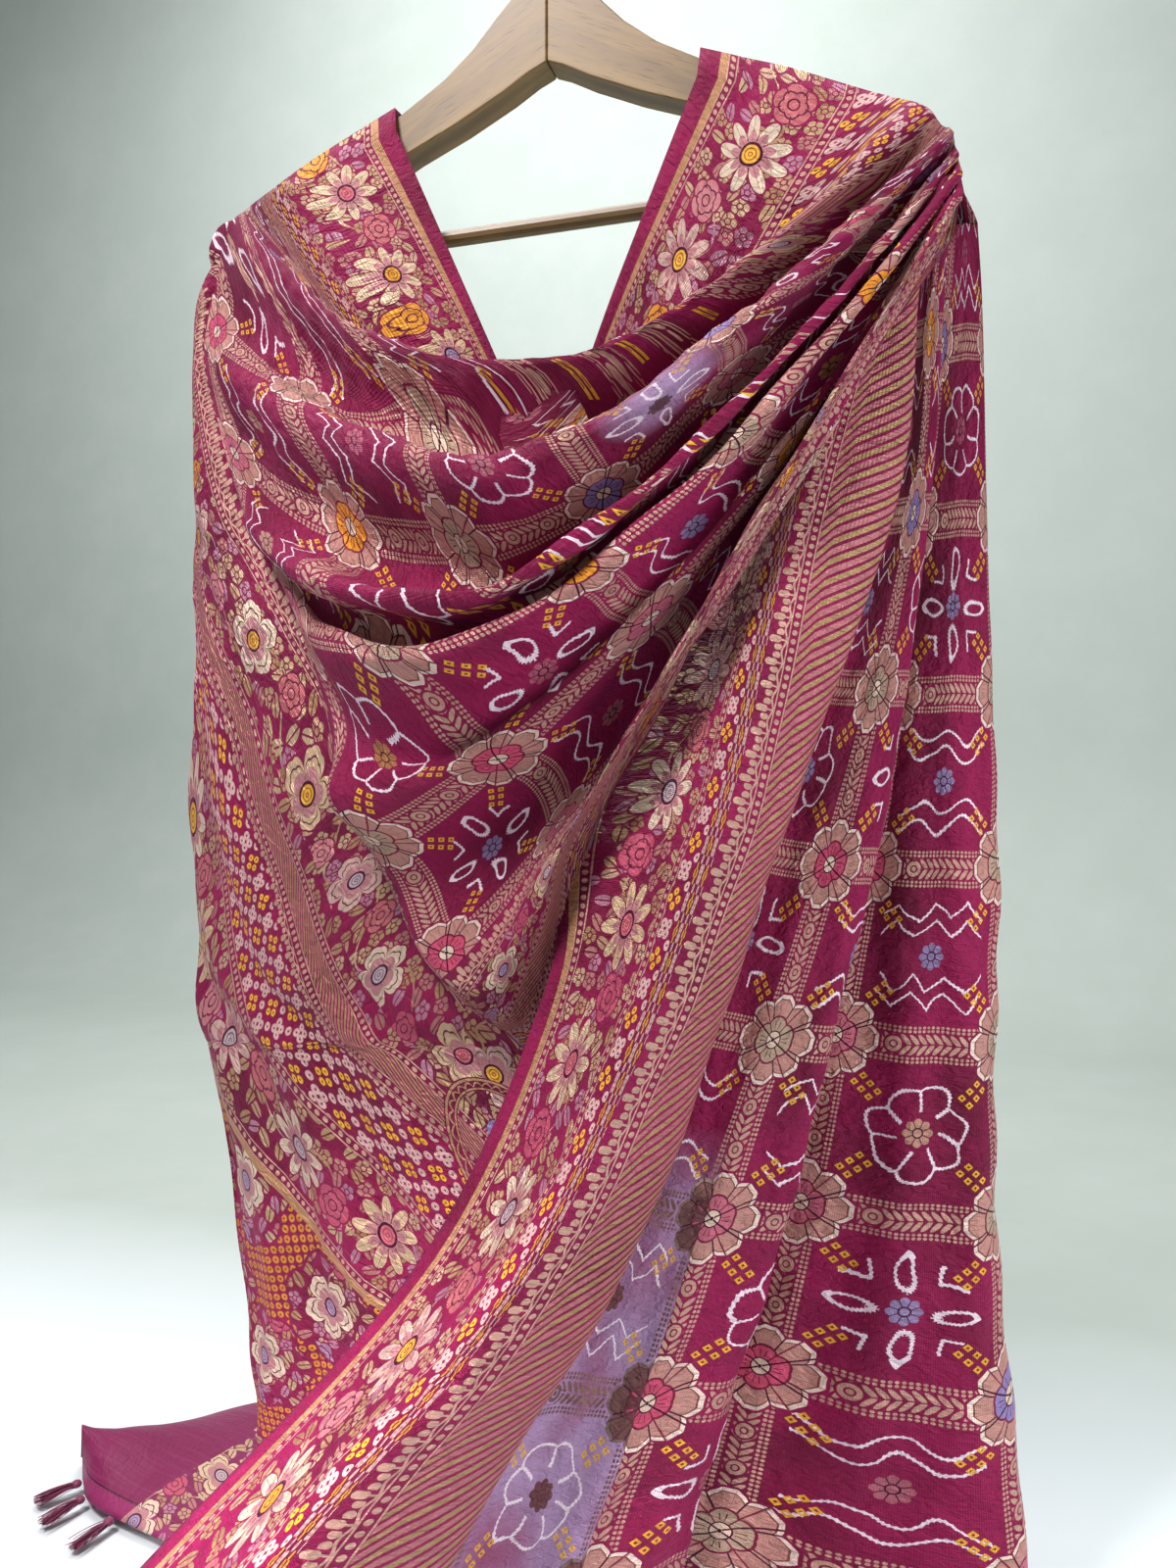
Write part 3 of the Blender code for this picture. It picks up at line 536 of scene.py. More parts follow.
# the end's bands are not as deep as the edge's: its distance past the field, and the edge's that
# shows the same band, in millimetres
END_BANDS = ((0, 0), (17, 22), (70, 70), (75, 76), (87, 104), (92, 110), (97, 126), (140, 184),
             (146, 190), (201, 252), (207, 258), (212, 263), (300, 300))
END_REACH = END_BANDS[-1][0]
SELVEDGE_AT = 263       # past it, the end is worked with bouquets instead of a selvedge


def sheet_place(tree):
    """The place on the sheet, in millimetres."""
    return scaled(tree, out(tree, "ShaderNodeUVMap", uv_map="sheet"), 1000.0)


def end_band(tree, share):
    """A share of the way past the end, turned to a share of the edge's bands."""
    stretch = add(tree, "ShaderNodeFloatCurve", {"Factor": 1.0, "Value": share})
    curve = stretch.mapping.curves[0]
    while len(curve.points) < len(END_BANDS):
        curve.points.new(0.5, 0.5)
    for point, (past, band) in zip(curve.points, END_BANDS):
        point.location = (past / END_REACH, band / END_REACH)
        point.handle_type = "VECTOR"
    stretch.mapping.update()
    return stretch.outputs[0]


def woven_silk(name):
    """The stole's silk, with its pattern drawn from the sheet's own millimetres."""
    finish, tree = new_finish(name)
    place = sheet_place(tree)
    u, v, _ = split(tree, place)
    # outwards from the field: past an edge, v tells it, and past the end, u does
    d = draft(tree, """
        edge = min(v, width - v)
        side = border - edge
        p = min(max(0 - u, 0 - 1), reach) / reach
    """, u=u, v=v, width=SHEET_WIDTH, border=BORDER, reach=END_REACH)
    z = draft(tree, """
        end = (u < 0) * band * reach - (u > 0) * 900
        o = max(side, end)
        by_end = end > side
        along = u + by_end * (v - u)
        past = 0 - u
        worked = o > 0
        pallu = (end > selvedge_at) * (end > side)
    """, u=u, v=v, band=end_band(tree, d["p"]), side=d["side"], reach=END_REACH, selvedge_at=SELVEDGE_AT)
    normal = thread_bump(tree, place, 0.8)
    dye = out(tree, "ShaderNodeTexNoise", {"Vector": place, "Scale": 0.012, "Detail": 3.0},
              noise_dimensions="2D")
    uneven = draft(tree, "deep = min(max((n - 0.42) * 3.2, 0), 1)", n=dye)["deep"]
    # painted light through a single layer: the strip starts at u 1262 between v 296 and 402,
    # and the spot reaches 51 mm round (440, 572)
    sheer = draft(tree, """
        strip = min(max((u - 1262) / 50, 0), 1) * (v > 296) * (v < 402) * (n * 1.9 - 0.2)
        spot = max(0, 1 - ((u - 440) * (u - 440) + (v - 572) * (v - 572)) / 2600)
        share = min(strip + spot, 0.9)
    """, u=u, v=v, n=dye)["share"]
    ground = painted(tree, colour(GROUND), [(uneven, colour(GROUND_DEEP)), (sheer, colour(GROUND_PAINTED_LIGHT_THROUGH))])
    figured, figured_thread = field_colour(tree, u, v, ground)
    # painted shade: the golden thread darkened where light through a single layer is painted
    painted_thread_shade = draft(tree, "s = min(sheer * 1.2, 0.85) * thread", sheer=sheer, thread=figured_thread)["s"]
    field = silk(tree, painted(tree, figured, [(painted_thread_shade, colour("#5E3C3E"))]), figured_thread, normal)
    border = silk(tree, *border_colour(tree, z["o"], z["along"], d["side"], z["past"], ground), normal)
    pallu = silk(tree, *pallu_colour(tree, u, v, ground), normal)
    zone = out(tree, "ShaderNodeMixShader", {0: z["worked"], 1: field, 2: border})
    zone = out(tree, "ShaderNodeMixShader", {0: z["pallu"], 1: zone, 2: pallu})
    add(tree, "ShaderNodeOutputMaterial", {"Surface": zone})
    return finish


stole_silk = woven_silk("brocade_silk_with_tied_dots")
print("nodes in the stole's silk:", len(stole_silk.node_tree.nodes))

# %% [markdown]
# ## The fold lines
# The solids were lofted through named fold lines, and the finer sheet here goes through the same
# ones, in millimetres: from the neck down for the swag, level by level for the two falls. A
# Catmull-Rom curve passes through every line, so with more steps the same folds come out rounder.

# %% Fold lines of the swag and the left fall
ARM_REACH, TIP_RADIUS, ARM_THICK = 228, 17, 20
ARM_SLOPE = 0.48
ARM_TOP_AT = (96, -160)     # x and z of one point of an arm's top edge
# each line's ends and lowest point; how its two halves sag, how far its middle swells forwards,
# and how high it lies over the arm
SWAG = (
    # name            left               low                right              sag_l sag_r swell over
    ("neck_edge",    (-98, -14, -172),  (12, -40, -404),   (93, -14, -172),   1.00, 0.92, 0, 6),
    ("neck_border",  (-150, -15, -192), (10, -50, -432),   (150, -16, -190),  0.90, 0.95, 4, 10),
    ("neck_valley",  (-182, -15, -204), (20, -58, -470),   (192, -16, -206),  1.20, 1.10, 0, 10),
    ("crest_1",      (-215, -15, -213), (36, -92, -357),   (217, -18, -214),  2.00, 1.55, 0, 11),
    ("valley_1",     (-228, -12, -246), (26, -84, -404),   (226, -16, -221),  1.80, 1.50, 0, 5),
    ("crest_2",      (-241, -10, -290), (16, -132, -422),  (233, -18, -229),  1.50, 1.50, 0, 6),
    ("valley_2",     (-224, -18, -345), (8, -112, -474),   (232, -20, -237),  1.70, 1.45, 0, 3),
    ("crest_3",      (-196, -32, -406), (2, -147, -489),   (236, -23, -244),  2.00, 1.50, 0, 3),
    ("valley_3",     (-170, -44, -440), (-8, -124, -504),  (232, -26, -251),  2.00, 1.50, 0, 2),
    ("crest_4",      (-140, -60, -482), (-16, -146, -516), (236, -31, -258),  2.00, 1.60, 0, 2),
    ("valley_4",     (-118, -70, -528), (-42, -122, -562), (231, -31, -265),  1.80, 1.65, 0, 2),
    ("low_fold",     (-96, -79, -588),  (-78, -112, -590), (235, -36, -272),  1.50, 1.75, 10, 2),
    ("low_valley",   (-70, -82, -634),  (-54, -98, -632),  (230, -36, -279),  1.30, 1.55, 6, 2),
    ("field_corner", (-43, -87, -678),  (-33, -94, -672),  (233, -42, -286),  1.20, 1.30, 14, 2),
)
LOW_EDGE = (
    # name            left, rise       low, shoulder     knee, right       crossing
    ("border_roll",  (-10, -94, -704), (4, -114, -692),  (28, -122, -650), (47, -118, -607),
                     (97, -105, -521), (146, -88, -434), (230, -50, -290)),
    ("border_under", (8, -86, -716),   (26, -92, -706),  (42, -97, -652),  (49, -99, -608),
                     (95, -95, -522),  (143, -77, -436), (228, -43, -298)),
    ("low_selvedge", (18, -84, -728),  (44, -84, -722),  (57, -82, -656),  (53, -88, -609),
                     (99, -87, -523),  (141, -69, -437), (235, -36, -292)),
)
LOW_EDGE_RISE = 2
TIP_LINE_Z = -225       # lines that end lower than this turn round the arm's tip
FIRST_SIDE_LINE = 3     # the first line of the swag that runs on into the left fall
LEFT_OUTLINE = (
    # z     x      y    back_y
    (-205, -229,   4,   15),
    (-246, -249,   6,   24),
    (-312, -257,  10,   28),
    (-446, -260,  10,   36),
    (-614, -260,  10,   42),
    (-712, -253,   4,   44),
    (-787, -230,  -6,   44),
    (-853, -212, -14,   44),
    (-965, -189, -28,   42),
    (-1034, -178, -36,  38),
)
LEFT_FALL_FOOT = (
    # x    y     z
    (40, -88, -790),
    (46, -80, -870),
    (40, -72, -950),
    (30, -66, -1032),
)
DIP, DIP_FROM, DIP_TO = 0.06, -205, -1034     # how a level dips outwards, between these heights
FRONT_Y = -86           # how far forwards the left fall's front stays
LEFT_BACK_INNER = -104  # where its back ends, under the middle of the arm
BACK_PLEATS = 3
PLEAT_DEPTH = 13
print(len(SWAG) + len(LOW_EDGE), "lines across the swag")

# %% Fold lines of the right fall and the plain end
FALL_ABOVE = (
    # name           top               shoulder          upper             middle
    ("selvedge",   (186, -10, -272), (160, -13, -320), (106, -22, -432), (57, -90, -606)),
    ("flank",      (195, -12, -270), (174, -17, -320), (129, -31, -436), (86, -102, -606)),
    ("ridge",      (204, -24, -269), (187, -35, -320), (150, -64, -440), (120, -126, -608)),
    ("hatch",      (213, -22, -268), (202, -32, -318), (178, -58, -436), (143, -104, -612)),
    ("fold_1",     (222, -20, -268), (216, -25, -317), (205, -38, -430), (151, -76, -605)),
    ("under_1",    (216, -13, -270), (209, -17, -319), (194, -27, -432), (134, -58, -608)),
    ("valley_1",   (222, -9, -272),  (216, -12, -321), (202, -17, -434), (142, -40, -610)),
    ("middle",     (228, -12, -270), (223, -14, -320), (213, -17, -434), (174, -37, -610)),
    ("fold_2",     (233, -8, -268),  (229, -9, -318),  (221, -8, -434),  (196, -25, -610)),
    ("under_2",    (229, -2, -271),  (223, 0, -320),   (209, 4, -436),   (179, -5, -612)),
    ("valley_2",   (234, 2, -270),   (229, 6, -320),   (215, 13, -436),  (188, 8, -612)),
    ("back_field", (240, 6, -268),   (240, 8, -318),   (236, 10, -436),  (227, 5, -612)),
    ("outline",    (246, 12, -262),  (249, 15, -315),  (252, 18, -440),  (257, 20, -612)),
)
FALL_BELOW = (
    # name           lower             flare              hem
    ("selvedge",   (-2, -166, -796), (-96, -328, -922), (-140, -366, -1048)),
    ("flank",      (28, -182, -788), (-64, -338, -910), (-104, -384, -1047)),
    ("ridge",      (60, -214, -782), (-24, -346, -894), (-58, -398, -1046)),
    ("hatch",      (80, -184, -790), (6, -300, -906),   (-20, -346, -1047)),
    ("fold_1",     (92, -138, -795), (26, -234, -920),  (6, -270, -1048)),
    ("under_1",    (72, -112, -800), (16, -190, -930),  (-8, -218, -1050)),
    ("valley_1",   (76, -82, -805),  (34, -132, -930),  (4, -160, -1051)),
    ("middle",     (112, -70, -808), (72, -100, -932),  (34, -126, -1052)),
    ("fold_2",     (151, -41, -806), (114, -53, -934),  (76, -66, -1053)),
    ("under_2",    (133, -16, -810), (98, -25, -934),   (66, -33, -1054)),
    ("valley_2",   (148, 0, -812),   (117, -6, -936),   (88, -11, -1054)),
    ("back_field", (212, -2, -815),  (204, -9, -938),   (197, -15, -1055)),
    ("outline",    (258, 13, -818),  (266, 6, -940),    (275, -1, -1055)),
)
RIGHT_BACK_TOP = ((241, -222), (104, -154))     # x and z of the back's outer and inner edge
RIGHT_BACK_HEM = ((264, -1054), (96, -1048))
RIGHT_BACK_Y = (12, 50)                         # at the top and at the hem
TIP_CLEAR = 5.5         # how far the cloth stays off an arm's round tip
TOP_Y = 5               # the cloth's depth where it passes over an arm
END_HEM = ((-328, -20, -1050), (-302, -42, -1050), (-246, -56, -1051), (-186, -68, -1052), (-126, -74, -1053))
END_FAR = ((-350, 4, -1052), (-322, 44, -1052), (-272, 104, -1052), (-205, 136, -1052), (-130, 120, -1053))
END_ARCH = (30, 26, 15, 6, 3)
print(len(FALL_ABOVE), "lines down the right fall")

# %% [markdown]
# ## Lofting
# Each surface is a grid of points: rows along the folds and columns across them. Finer steps than
# the solids' give room for creases of a few millimetres, which is the smallest fold a silk this
# heavy keeps.

# %% Curves, edges and lofts
LINE_STEPS = 128          # along a fold line of the swag
FOLD_STEPS = 9            # from one fold line to the next
LEVEL_STEPS = 20          # from one level of the right fall to the next


def smooth_through(points, steps):
    """A Catmull-Rom curve through points, with the same number of steps in every span."""
    p = np.asarray(points, float)
    p = np.concatenate([2 * p[:1] - p[1:2], p, 2 * p[-1:] - p[-2:-1]])
    t = np.arange(steps)[:, None] / steps
    t = t.reshape((steps,) + (1,) * (p.ndim - 1))
    spans = []
    for a, b, c, d in zip(p[:-3], p[1:-2], p[2:-1], p[3:]):
        spans.append(0.5 * (2 * b + (c - a) * t + (2 * a - 5 * b + 4 * c - d) * t**2
                            + (3 * b - a - 3 * c + d) * t**3))
    return np.concatenate(spans + [p[-2:-1]])


def even_steps(line, count):
    """The line again, with count equal steps along its length."""
    length = np.concatenate([[0], np.cumsum(np.linalg.norm(np.diff(line, axis=0), axis=1))])
    wanted = np.linspace(0, length[-1], count + 1)
    return np.stack([np.interp(wanted, length, line[:, k]) for k in range(3)], axis=1)


def arm_top(x):
    """Height of an arm's straight top edge at x."""
    return ARM_TOP_AT[1] - ARM_SLOPE * (abs(x) - ARM_TOP_AT[0])


def hang(left, low, right, sag_left, sag_right, swell):
    """A fold line from left to right through its lowest point, dense and uneven."""
    left, low, right = (np.array(p, float) for p in (left, low, right))
    halves = []
    for end, power, spread in ((left, sag_left, np.linspace(1, 0, 40)),
                               (right, sag_right, np.linspace(0, 1, 40))):
        along = low[0] + (end[0] - low[0]) * spread
        rise = spread[:, None] ** power * (end[1:] - low[1:])[None, :]
        halves.append(np.column_stack([along, low[1:][None, :] + rise]))
    line = np.concatenate([halves[0][:-1], halves[1]])
    fraction = np.linspace(0, 1, len(line))
    line[:, 1] -= swell * np.sin(math.pi * fraction)
    return line


# where a line turns round an arm's tip: how far out, how high, and how both change with its drop
TIP_OUT, TIP_OUT_MORE = 234, 0.08
TIP_CREST, TIP_CREST_LESS = -224, 0.42


def over_the_arm(front, rise):
    """The end of a fold line where it turns up over an arm, or round its tip, to the top edge."""
    x, y, z = front
    outwards = 1 if x > 0 else -1
    past_tip = TIP_LINE_Z - z
    if past_tip > 0:
        reach, crest = TIP_OUT + TIP_OUT_MORE * past_tip, TIP_CREST - TIP_CREST_LESS * past_tip
    else:
        reach, crest = abs(x) + 2.5, arm_top(x) + rise
    return [((reach - 1) * outwards, -12, crest - 2), (reach * outwards, 1, crest)]


def swag_lines():
    """Every fold line of the swag as equal steps, from its left end to the right arm's top edge."""
    lines = []
    for k, (_, left, low, right, sag_left, sag_right, swell, rise) in enumerate(SWAG):
        line = hang(left, low, right, sag_left, sag_right, swell)
        if k < FIRST_SIDE_LINE:
            front = np.concatenate([over_the_arm(left, rise)[::-1], even_steps(line, LINE_STEPS)])
        else:
            front = even_steps(line, LINE_STEPS + 2)
        lines.append(np.concatenate([front, over_the_arm(right, rise)]))
    for _, *points in LOW_EDGE:
        front = even_steps(smooth_through(points, 8), LINE_STEPS + 2)
        lines.append(np.concatenate([front, over_the_arm(points[-1], LOW_EDGE_RISE)]))
    return np.array(lines)


def swag():
    """The swag's whole surface, from the neck edge to the low selvedge."""
    return smooth_through(swag_lines(), FOLD_STEPS)


def outline_at(z):
    """The left fall's outline at a height: x, y and the depth of the back."""
    table = np.array(LEFT_OUTLINE[::-1], float)
    return [np.interp(z, table[:, 0], table[:, k]) for k in (1, 2, 3)]


def back_pleats(outer, inner, depth, amount):
    """Points across a hidden back, from its outer to its inner edge, pleated to and fro."""
    count = 2 * BACK_PLEATS
    points = []
    for k in range(1, count + 1):
        f = k / count
        swing = amount * (1 if k % 2 else -1) * (0.4 if k == count else 1)
        points.append((outer[0] + (inner[0] - outer[0]) * f, depth + swing,
                       outer[1] + (inner[1] - outer[1]) * f))
    return points


def shoulder_row(seam):
    """The left fall's top edge: from the seam back over the arm, then along it to the neck."""
    start = (seam[0] - 1.4, seam[1] + 2.8)
    outer = (-188, TOP_Y)
    row = []
    for f in (0, 0.2, 0.4, 0.6, 0.8, 1):
        x = start[0] + (outer[0] - start[0]) * f
        row.append((x, start[1] + (outer[1] - start[1]) * f, arm_top(x) + 8))
    for px, py, _ in back_pleats((outer[0] + 4, 0), (LEFT_BACK_INNER, 0), TOP_Y, 0):
        row.append((px, py, arm_top(px) + 9))
    return row


def left_fall():
    """The left fall: levels from the arm to the hem, each from the hidden front edge round the
    outline to the selvedge down the back."""
    fronts = [line[1] for line in SWAG[FIRST_SIDE_LINE:] + LOW_EDGE] + list(LEFT_FALL_FOOT)
    corner_x, _, corner_z = SWAG[-1][1]
    levels = [shoulder_row(fronts[0])]
    # over the first four levels the rows settle from the arm's shape into the fall's, and lower
    # down they dip towards the outline
    for k, (x, y, z) in enumerate(fronts[1:], 1):
        settled = min(1, k / 4)
        drop = DIP * max(0, DIP_FROM - z) * min(1, (z - DIP_TO) / 200 + 0.02)
        level_z = z - drop
        side_x, side_y, back_y = outline_at(level_z)
        front_y = max(y, FRONT_Y)
        front_x = min(x, corner_x + 0.74 * (corner_z - z)) if z < corner_z else x
        width = front_x - side_x
        turn = side_y - front_y
        row = [(x, y, z),
               (front_x - 0.3 * width, front_y + (0.1 + 0.15 * settled) * turn - 10 * settled,
                z - 0.35 * drop),
               (front_x - 0.66 * width, front_y + (0.3 + 0.25 * settled) * turn - 10 * settled,
                z - 0.7 * drop),
               (side_x + min(6 + 4 * settled, 0.15 * width), side_y - 6 - 6 * settled, level_z),
               (side_x, side_y, level_z),
               (side_x + 6 + 6 * settled, side_y + 6 + 8 * settled, level_z)]
        outer = (side_x + 12 + 10 * settled, level_z)
        pleats = back_pleats(outer, (LEFT_BACK_INNER, level_z), back_y, PLEAT_DEPTH * settled**1.5)
        for px, py, pz in pleats:
            top = arm_top(px) + 2
            row.append((px, py, top + (pz - top) * settled))
        levels.append(row)
    down = smooth_through(np.array(levels), FOLD_STEPS)
    return clear_of_tips(smooth_through(down.swapaxes(0, 1), FOLD_STEPS).swapaxes(0, 1))


def clear_of_tips(grid):
    """The grid with its points moved out of the arms' rounded tips."""
    tip_x, tip_z = ARM_REACH - TIP_RADIUS, arm_top(ARM_REACH - TIP_RADIUS) - TIP_RADIUS
    points = grid.reshape(-1, 3).copy()
    for p in points:
        tip = np.array([math.copysign(tip_x, p[0]), tip_z])
        away = p[::2] - tip
        reach = np.linalg.norm(away)
        if abs(p[1]) < ARM_THICK / 2 + 2 and reach < TIP_RADIUS + TIP_CLEAR:
            p[::2] = tip + away * (TIP_RADIUS + TIP_CLEAR) / reach
    return points.reshape(grid.shape)


def right_fall_lines():
    """The right fall's fold lines at their levels, the pleated back after the outline."""
    lines = [above[1:] + below[1:] for above, below in zip(FALL_ABOVE, FALL_BELOW)]
    outline = np.array(lines[-1], float)[:, 2]
    heights = (outline - outline[0]) / (outline[-1] - outline[0])
    heights[1] = 0.02       # the shoulder's back still lies on the arm
    backs = []
    for f in heights:
        outer, inner = (np.array(t) + (np.array(h) - np.array(t)) * f
                        for t, h in zip(RIGHT_BACK_TOP, RIGHT_BACK_HEM))
        depth = RIGHT_BACK_Y[0] + (RIGHT_BACK_Y[1] - RIGHT_BACK_Y[0]) * f**0.5
        backs.append(back_pleats(outer, inner, depth if f else TOP_Y, PLEAT_DEPTH * f**0.6))
    return np.concatenate([np.array(lines, float), np.array(backs, float).swapaxes(0, 1)])


def right_fall():
    """The right fall's whole surface, from its front selvedge round to the one down the back."""
    lines = right_fall_lines()
    long_way = smooth_through(lines.swapaxes(0, 1), LEVEL_STEPS).swapaxes(0, 1)
    return clear_of_tips(smooth_through(long_way, FOLD_STEPS))


print("an arm's top edge at 100 mm out:", arm_top(100))

# %% [markdown]
# ## Where the weave lies on the folds
# A pattern on cloth must follow the cloth. Each fold line of the swag lies at a known distance
# across the sheet, and its length gives the distance along it. Draping shears a real sheet a
# little, so a few crossings of the woven grid are named with the place where they lie, and the
# weave is eased towards them. The left fall carries the same numbers on, turned by the angle at
# which its bands run, and the right fall's lines run along the sheet.

# %% Millimetres of the sheet on the swag
# for each fold line: the row it has across the sheet, v at its two ends, u at its left end, how
# far u moves where the cloth is gathered, and u's millimetres to one of the line
SWAG_ROW = (0, 91, 250, 430, 500, 565, 640, 705, 735, 770, 820, 870, 935, 1000, 1060, 1150, 1288)
V_AT_LEFT = (0, 60, 118) + SWAG_ROW[3:]
V_AT_RIGHT = (0, 60, 102, 128, 175, 320, 480, 600, 680, 740, 805, 865) + SWAG_ROW[12:]
SWAG_U = (200, 200, 200, 100, 15) + 12 * (0,)
U_GATHERED = (40, 0, -85, 70, 70, 25, 15) + 10 * (0,)
U_STRETCH = 3 * (1.0,) + 14 * (1.06,)
GATHERS = (0.42, 0.92)  # the shares of a line's length between which the gathers set in
EASE_REACH = 52         # how far a named crossing draws the weave round it
EASE_LEAST = 0.12       # the pull that leaves the weave alone far from every crossing
CROSSINGS = (
    # u    v    row  run   crossings of the woven grid, and the fold row and length where each lies
    (256, 290, 290, 39),
    (256, 408, 330, 104),
    (20, 526, 545, 24),
    (138, 526, 540, 133),
    (256, 526, 479, 228),
    (374, 526, 553, 343),
    (138, 644, 622, 193),
    (256, 644, 612, 282),
    (374, 644, 612, 359),
    (492, 644, 602, 453),
    (138, 762, 756, 141),
    (138, 880, 885, 121),
    (20, 880, 910, 51),
    (138, 998, 984, 115),
    (20, 998, 1008, 41),
)


def run_lengths(grid):
    """The length along each row of a grid, from its first column."""
    steps = np.linalg.norm(np.diff(grid, axis=1), axis=2)
    return np.concatenate([np.zeros((len(grid), 1)), np.cumsum(steps, axis=1)], axis=1)


def ramp(x, start, end):
    """From nought at start to one at end, smoothly."""
    t = np.clip((x - start) / (end - start), 0, 1)
    return t * t * (3 - 2 * t)


def swag_weave(grid):
    """u and v of the sheet on every point of the swag."""
    row, left, right, starts, shift, stretch = (
        smooth_through(np.array(table, float)[:, None], FOLD_STEPS)
        for table in (SWAG_ROW, V_AT_LEFT, V_AT_RIGHT, SWAG_U, U_GATHERED, U_STRETCH))
    run = run_lengths(grid)
    gathered = ramp(run / run[:, -1:], *GATHERS)
    v = left + (right - left) * gathered
    u = starts + run * stretch + shift * gathered
    pull, moved = np.full(run.shape, EASE_LEAST), np.zeros(run.shape + (2,))
    for want_u, want_v, at_row, at_run in CROSSINGS:
        apart = (row - at_row) ** 2 + (run - at_run) ** 2
        there = np.unravel_index(apart.argmin(), apart.shape)
        weight = np.exp(-apart / (2 * EASE_REACH ** 2))
        pull += weight
        moved += weight[..., None] * np.array([want_u - u[there], want_v - v[there]])
    moved /= pull[..., None]
    settled = ramp(row + 0 * run, 270, 330)
    return u + moved[..., 0] * settled, v + moved[..., 1] * settled


# %% Millimetres of the sheet on the left fall
CORNER_X, CORNER_Z = -43, -676      # the field's corner on the swag's edge, where the border starts
HIDDEN_FALL = math.radians(34)      # how steeply the border's inner edge runs on below it
HIDDEN_LEAN = math.radians(38)      # the angle at which v grows along that edge
BAND_ANGLE, BAND_TURN = 66, 25      # degrees at which the bands run, and how much less lower down


def left_weave(grid, seam_u, seam_v):
    """u and v on the left fall, carried on from the swag's edge, and on its back from the far edge."""
    run = run_lengths(grid)
    x, z = grid[:, 0, 0], grid[:, 0, 2]
    drop = np.maximum(CORNER_Z - z, 0)
    ahead = np.maximum(CORNER_X + drop / math.tan(HIDDEN_FALL) - x, 0) * ramp(drop, 0, 30)
    below = ramp(drop, 0, 45)
    last_u, last_v = (seam[-1] + 0 * z for seam in (seam_u, seam_v))
    last_u[:len(seam_u)], last_v[:len(seam_v)] = seam_u, seam_v
    first_u = last_u * (1 - below)
    first_v = last_v * (1 - below) + (1000 + drop / math.sin(HIDDEN_LEAN)) * below
    turn = ramp(-z, 470, 800)
    angle = np.radians(BAND_ANGLE - BAND_TURN * turn)[:, None]
    away = run + ahead[:, None]
    u = first_u[:, None] - away * np.sin(angle)
    v = first_v[:, None] - away * np.cos(angle)
    u, v = (soften(value, run) for value in (u, v))
    back_v = run[:, -1:] - run
    back_u = -grid[..., 2] * 1.02
    return u, v, back_u, back_v


def soften(value, run):
    """A value smoothed from row to row, more so away from the first column."""
    smooth = value.copy()
    for _ in range(60):
        smooth[1:-1] = (smooth[:-2] + 2 * smooth[1:-1] + smooth[2:]) / 4
    away = ramp(run, 5, 90)
    return value * (1 - away) + smooth * away


# %% Millimetres of the sheet on the right fall
FALL_V = (
    # line  v     the trellis is tucked into the ridge, so v runs fast there
    (0, 0), (1, 44), (1.72, 90), (2.02, 108), (2.2, 150), (2.55, 166), (3, 180), (4, 198), (4.6, 204),
    (5, 290), (6, 340), (7, 408), (8, 462), (9, 490), (10, 520), (11, 585), (12, 645),
)
BORDER_U = 628          # u at the fall's top, on the border
FIELD_U, FIELD_STRETCH = 650, 1.2   # u there on the field, and its millimetres to one of the fall


def right_weave(grid):
    """u and v on the right fall, whose rows are its fold lines, and on its back from the far edge."""
    count = FALL_V[-1][0] * FOLD_STEPS + 1
    rows = np.interp(np.arange(count) / FOLD_STEPS, *zip(*FALL_V))
    run = run_lengths(grid)
    across = np.linalg.norm(np.diff(grid, axis=0), axis=2)
    beyond = np.concatenate([np.zeros((1, grid.shape[1])), np.cumsum(across[count - 1:], axis=0)])
    v = np.concatenate([rows[:, None] + 0 * run[:count], rows[-1] + beyond[1:]])
    tucked = ramp(v, 60, 0) * ramp(run, 480, 360)
    v = v + 13 * tucked
    field = ramp(v, 200, 290)
    u = (run + BORDER_U) * (1 - field) + (FIELD_STRETCH * run + FIELD_U) * field
    back_v = np.concatenate([np.zeros((count - 1, grid.shape[1])), beyond[-1:] - beyond])
    return u, v, run + BORDER_U, back_v


print("the sheet is", SWAG_ROW[-1], "mm wide")

# %% [markdown]
# ## Creases
# Between the main folds a real silk is never smooth: it puckers along the tied rows, drops in soft
# uneven waves, and gathers where it is bunched on the arm. Each is a height, made of a few waves
# that bend and fade unevenly, and the points move by it along the surface's own normal. Every
# term below is a height in millimetres, a wave of a length, and ramps that fade it in and out.

# %% Creases
def waves(a, b, length, bend, shift):
    """An uneven wave along a, bent by b, from -1 to 1."""
    phase = a / length + 0.35 * np.sin(b / bend + shift) + 0.15 * np.sin(b / (bend * 0.37) + 2.1 * shift)
    swell = 0.72 + 0.28 * np.sin(a / (length * 1.7) + b / (bend * 1.3) + 3 * shift)
    return np.sin(2 * math.pi * phase + shift) * swell


def raised(grid, height):
    """The grid moved along its own normals by a height in millimetres."""
    along = np.gradient(grid, axis=1)
    across = np.gradient(grid, axis=0)
    normal = np.cross(along, across)
    normal /= np.maximum(np.linalg.norm(normal, axis=2, keepdims=True), 1e-9)
    return grid + normal * height[..., None]


# how far each fold line of the swag is pressed in, or drawn out where it is below nought
FOLD_DEPTH = (0, 0, 0, -2, 7, -4, 9, -3, 7, -3, 6, -3, 5, 0, 0, 0, 0)


